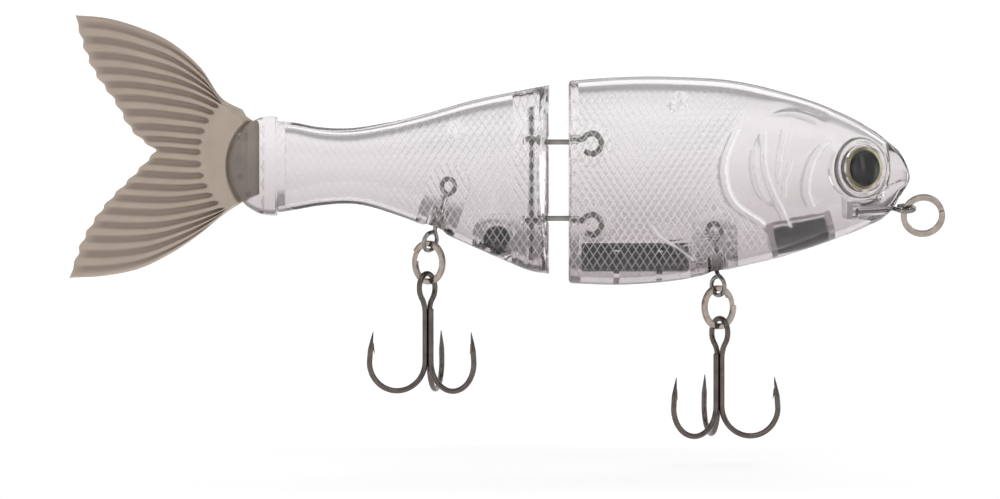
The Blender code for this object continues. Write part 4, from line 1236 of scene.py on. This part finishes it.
def eye_resin():
    material, tree, shader = new_material("eye resin")
    shader.inputs["Transmission Weight"].default_value = 1.0
    shader.inputs["Roughness"].default_value = 0.01
    shader.inputs["IOR"].default_value = 1.33
    tint = ramp(tree, noise(tree, 400.0), (0.3, (0.97, 0.96, 0.93)), (0.7, (0.99, 0.985, 0.97)))
    tree.links.new(tint, shader.inputs["Base Color"])
    bump(tree, shader, noise(tree, 500.0), 0.03, 0.00005)
    return material


def clear_plastic():
    """Clear moulded plastic: a faint haze, a lilac-grey tint that deepens towards edges, painted shade
    darker towards the belly, and painted highlights along the raised lines and the scale net."""
    material, tree, shader = new_material("clear plastic")
    shader.inputs["IOR"].default_value = 1.42
    edge = tree.nodes.new("ShaderNodeLayerWeight")
    edge.inputs["Blend"].default_value = 0.35
    tint = ramp(tree, edge.outputs["Facing"], (0.0, (0.935, 0.917, 0.923)),
                (0.75, (0.87, 0.85, 0.857)), (1.0, (0.80, 0.775, 0.782)))
    place = tree.nodes.new("ShaderNodeSeparateXYZ")
    tree.links.new(tree.nodes.new("ShaderNodeTexCoord").outputs["Object"], place.inputs["Vector"])
    # Painted shade: the colour darkens by height, towards the belly
    level = tree.nodes.new("ShaderNodeMapRange")
    level.inputs["From Min"].default_value = -0.016
    level.inputs["From Max"].default_value = 0.024
    tree.links.new(place.outputs["Z"], level.inputs["Value"])
    depth = ramp(tree, level.outputs["Result"], (0.0, (0.66, 0.625, 0.632)), (0.8, (1, 1, 1)))
    mix = tree.nodes.new("ShaderNodeMix")
    mix.data_type = "RGBA"
    mix.blend_type = "MULTIPLY"
    mix.inputs["Factor"].default_value = 1
    tree.links.new(tint, mix.inputs["A"])
    tree.links.new(depth, mix.inputs["B"])
    # Painted highlights: the scale net and the line mark mix white into the colour
    net = value(tree, "MULTIPLY", painted_scale_net(tree, place), attribute_node(tree, "net"))
    line = value(tree, "MAXIMUM", attribute_node(tree, "line"), net)
    painted_shine = tree.nodes.new("ShaderNodeMix")
    painted_shine.data_type = "RGBA"
    tree.links.new(line, painted_shine.inputs["Factor"])
    tree.links.new(mix.outputs["Result"], painted_shine.inputs["A"])
    painted_shine.inputs["B"].default_value = (1, 1, 1, 1)
    tree.links.new(painted_shine.outputs["Result"], shader.inputs["Base Color"])
    # Painted highlights are made less clear so that their white shows
    clear = tree.nodes.new("ShaderNodeMapRange")
    clear.inputs["To Min"].default_value = 0.985
    clear.inputs["To Max"].default_value = 0.25
    tree.links.new(line, clear.inputs["Value"])
    tree.links.new(clear.outputs["Result"], shader.inputs["Transmission Weight"])
    gloss = ramp(tree, noise(tree, 250.0), (0.3, (0.03,) * 3), (0.7, (0.07,) * 3))
    tree.links.new(gloss, shader.inputs["Roughness"])
    bump(tree, shader, noise(tree, 350.0, 3.0), 0.05, 0.0001)
    return material


# ---------------------------------------------------------------- stage

def studio_light(tree, background):
    """White room with darker gaps, a ring of softboxes overhead and an upright strip at each corner."""
    way = tree.nodes.new("ShaderNodeSeparateXYZ")
    tree.links.new(tree.nodes.new("ShaderNodeTexCoord").outputs["Generated"], way.inputs["Vector"])
    turn = value(tree, "MULTIPLY", value(tree, "ARCTAN2", way.outputs["Y"], way.outputs["X"]), 4.0)
    facing = value(tree, "MULTIPLY_ADD", value(tree, "COSINE", turn), 0.5, 0.5)
    wall = between(tree, facing, 0.12, 0.45, 0.38, 1.0)
    gap = between(tree, way.outputs["Z"], 0.16, 0.28, 1.0, 0.42)
    ring = value(tree, "MULTIPLY", between(tree, way.outputs["Z"], 0.50, 0.60, 0.0, 1.0),
                 between(tree, way.outputs["Z"], 0.80, 0.90, 1.0, 0.15))
    strip = value(tree, "MULTIPLY", between(tree, facing, 0.02, 0.07, 1.0, 0.0),
                  between(tree, way.outputs["Z"], 0.5, 0.7, 1.0, 0.0))
    room = value(tree, "MULTIPLY_ADD", wall, gap, value(tree, "MULTIPLY", ring, 0.75))
    room = value(tree, "ADD", room, value(tree, "MULTIPLY", strip, 2.2))
    seen = tree.nodes.new("ShaderNodeLightPath").outputs["Is Camera Ray"]
    room = value(tree, "ADD", value(tree, "MULTIPLY", seen, 1.12),
                 value(tree, "MULTIPLY", value(tree, "SUBTRACT", 1.0, seen), room))
    tree.links.new(room, background.inputs["Strength"])
    background.inputs["Color"].default_value = (1, 0.995, 0.995, 1)


def stage():
    world = bpy.data.worlds.new("studio")
    world.use_nodes = True
    background = world.node_tree.nodes["Background"]
    studio_light(world.node_tree, background)
    scene = bpy.context.scene
    scene.world = world
    scene.view_settings.view_transform = "Standard"
    scene.cycles.max_bounces = 24
    scene.cycles.transmission_bounces = 24
    scene.cycles.transparent_max_bounces = 32
    scene.cycles.caustics_refractive = True
    bm = bmesh.new()
    bmesh.ops.create_grid(bm, x_segments=8, y_segments=8, size=FLOOR_SIZE)
    mesh = bpy.data.meshes.new("floor")
    bm.to_mesh(mesh)
    bm.free()
    floor = bpy.data.objects.new("floor", mesh)
    floor.location.z = cad_low.z - FLOOR_DROP
    scene.collection.objects.link(floor)
    material, _, shader = new_material("paper floor")
    shader.inputs["Base Color"].default_value = (0.93, 0.93, 0.93, 1)
    shader.inputs["Roughness"].default_value = 0.9
    shader.inputs["Emission Color"].default_value = (1, 1, 1, 1)
    shader.inputs["Emission Strength"].default_value = 0.30
    mesh.materials.append(material)
    camera = bpy.data.objects.new("camera", bpy.data.cameras.new("camera"))
    camera.data.lens = CAMERA_LENS
    camera.data.sensor_width = CAMERA_SENSOR
    camera.location = CAMERA_PLACE
    camera.rotation_euler = (math.pi / 2, 0, 0)
    camera.data.clip_start = 0.01
    camera.data.clip_end = 20
    scene.collection.objects.link(camera)
    scene.camera = camera


stage()
CLEAR = clear_plastic()
STEEL = metal("stainless wire", (0.22, 0.208, 0.2), (0.30, 0.285, 0.275), (0.08, 0.16), 0.05)
BARREL = metal("swivel barrel", (0.50, 0.48, 0.45), (0.68, 0.66, 0.62), (0.22, 0.36))
SLUG = metal("ballast steel", (0.022, 0.02, 0.022), (0.06, 0.055, 0.058), (0.35, 0.5))
RING = metal("ring steel", (0.33, 0.28, 0.245), (0.45, 0.39, 0.35), (0.08, 0.16), 0.05)
NICKEL = metal("black nickel", (0.105, 0.088, 0.082), (0.15, 0.128, 0.12), (0.16, 0.26), 0.06)
for side, label in SIDES:
    front_shell(side, label, CLEAR)
    rear_shell(side, label, CLEAR)
slot_grips(CLEAR)
hangers(STEEL, BARREL)
links_and_pin(STEEL)
line_tie(STEEL)
nose_ring(RING)
hook_chains(RING, NICKEL)
ballast(SLUG)
stick_on_eyes(eye_foil(), eye_resin())
soft_tail(tail_rubber())
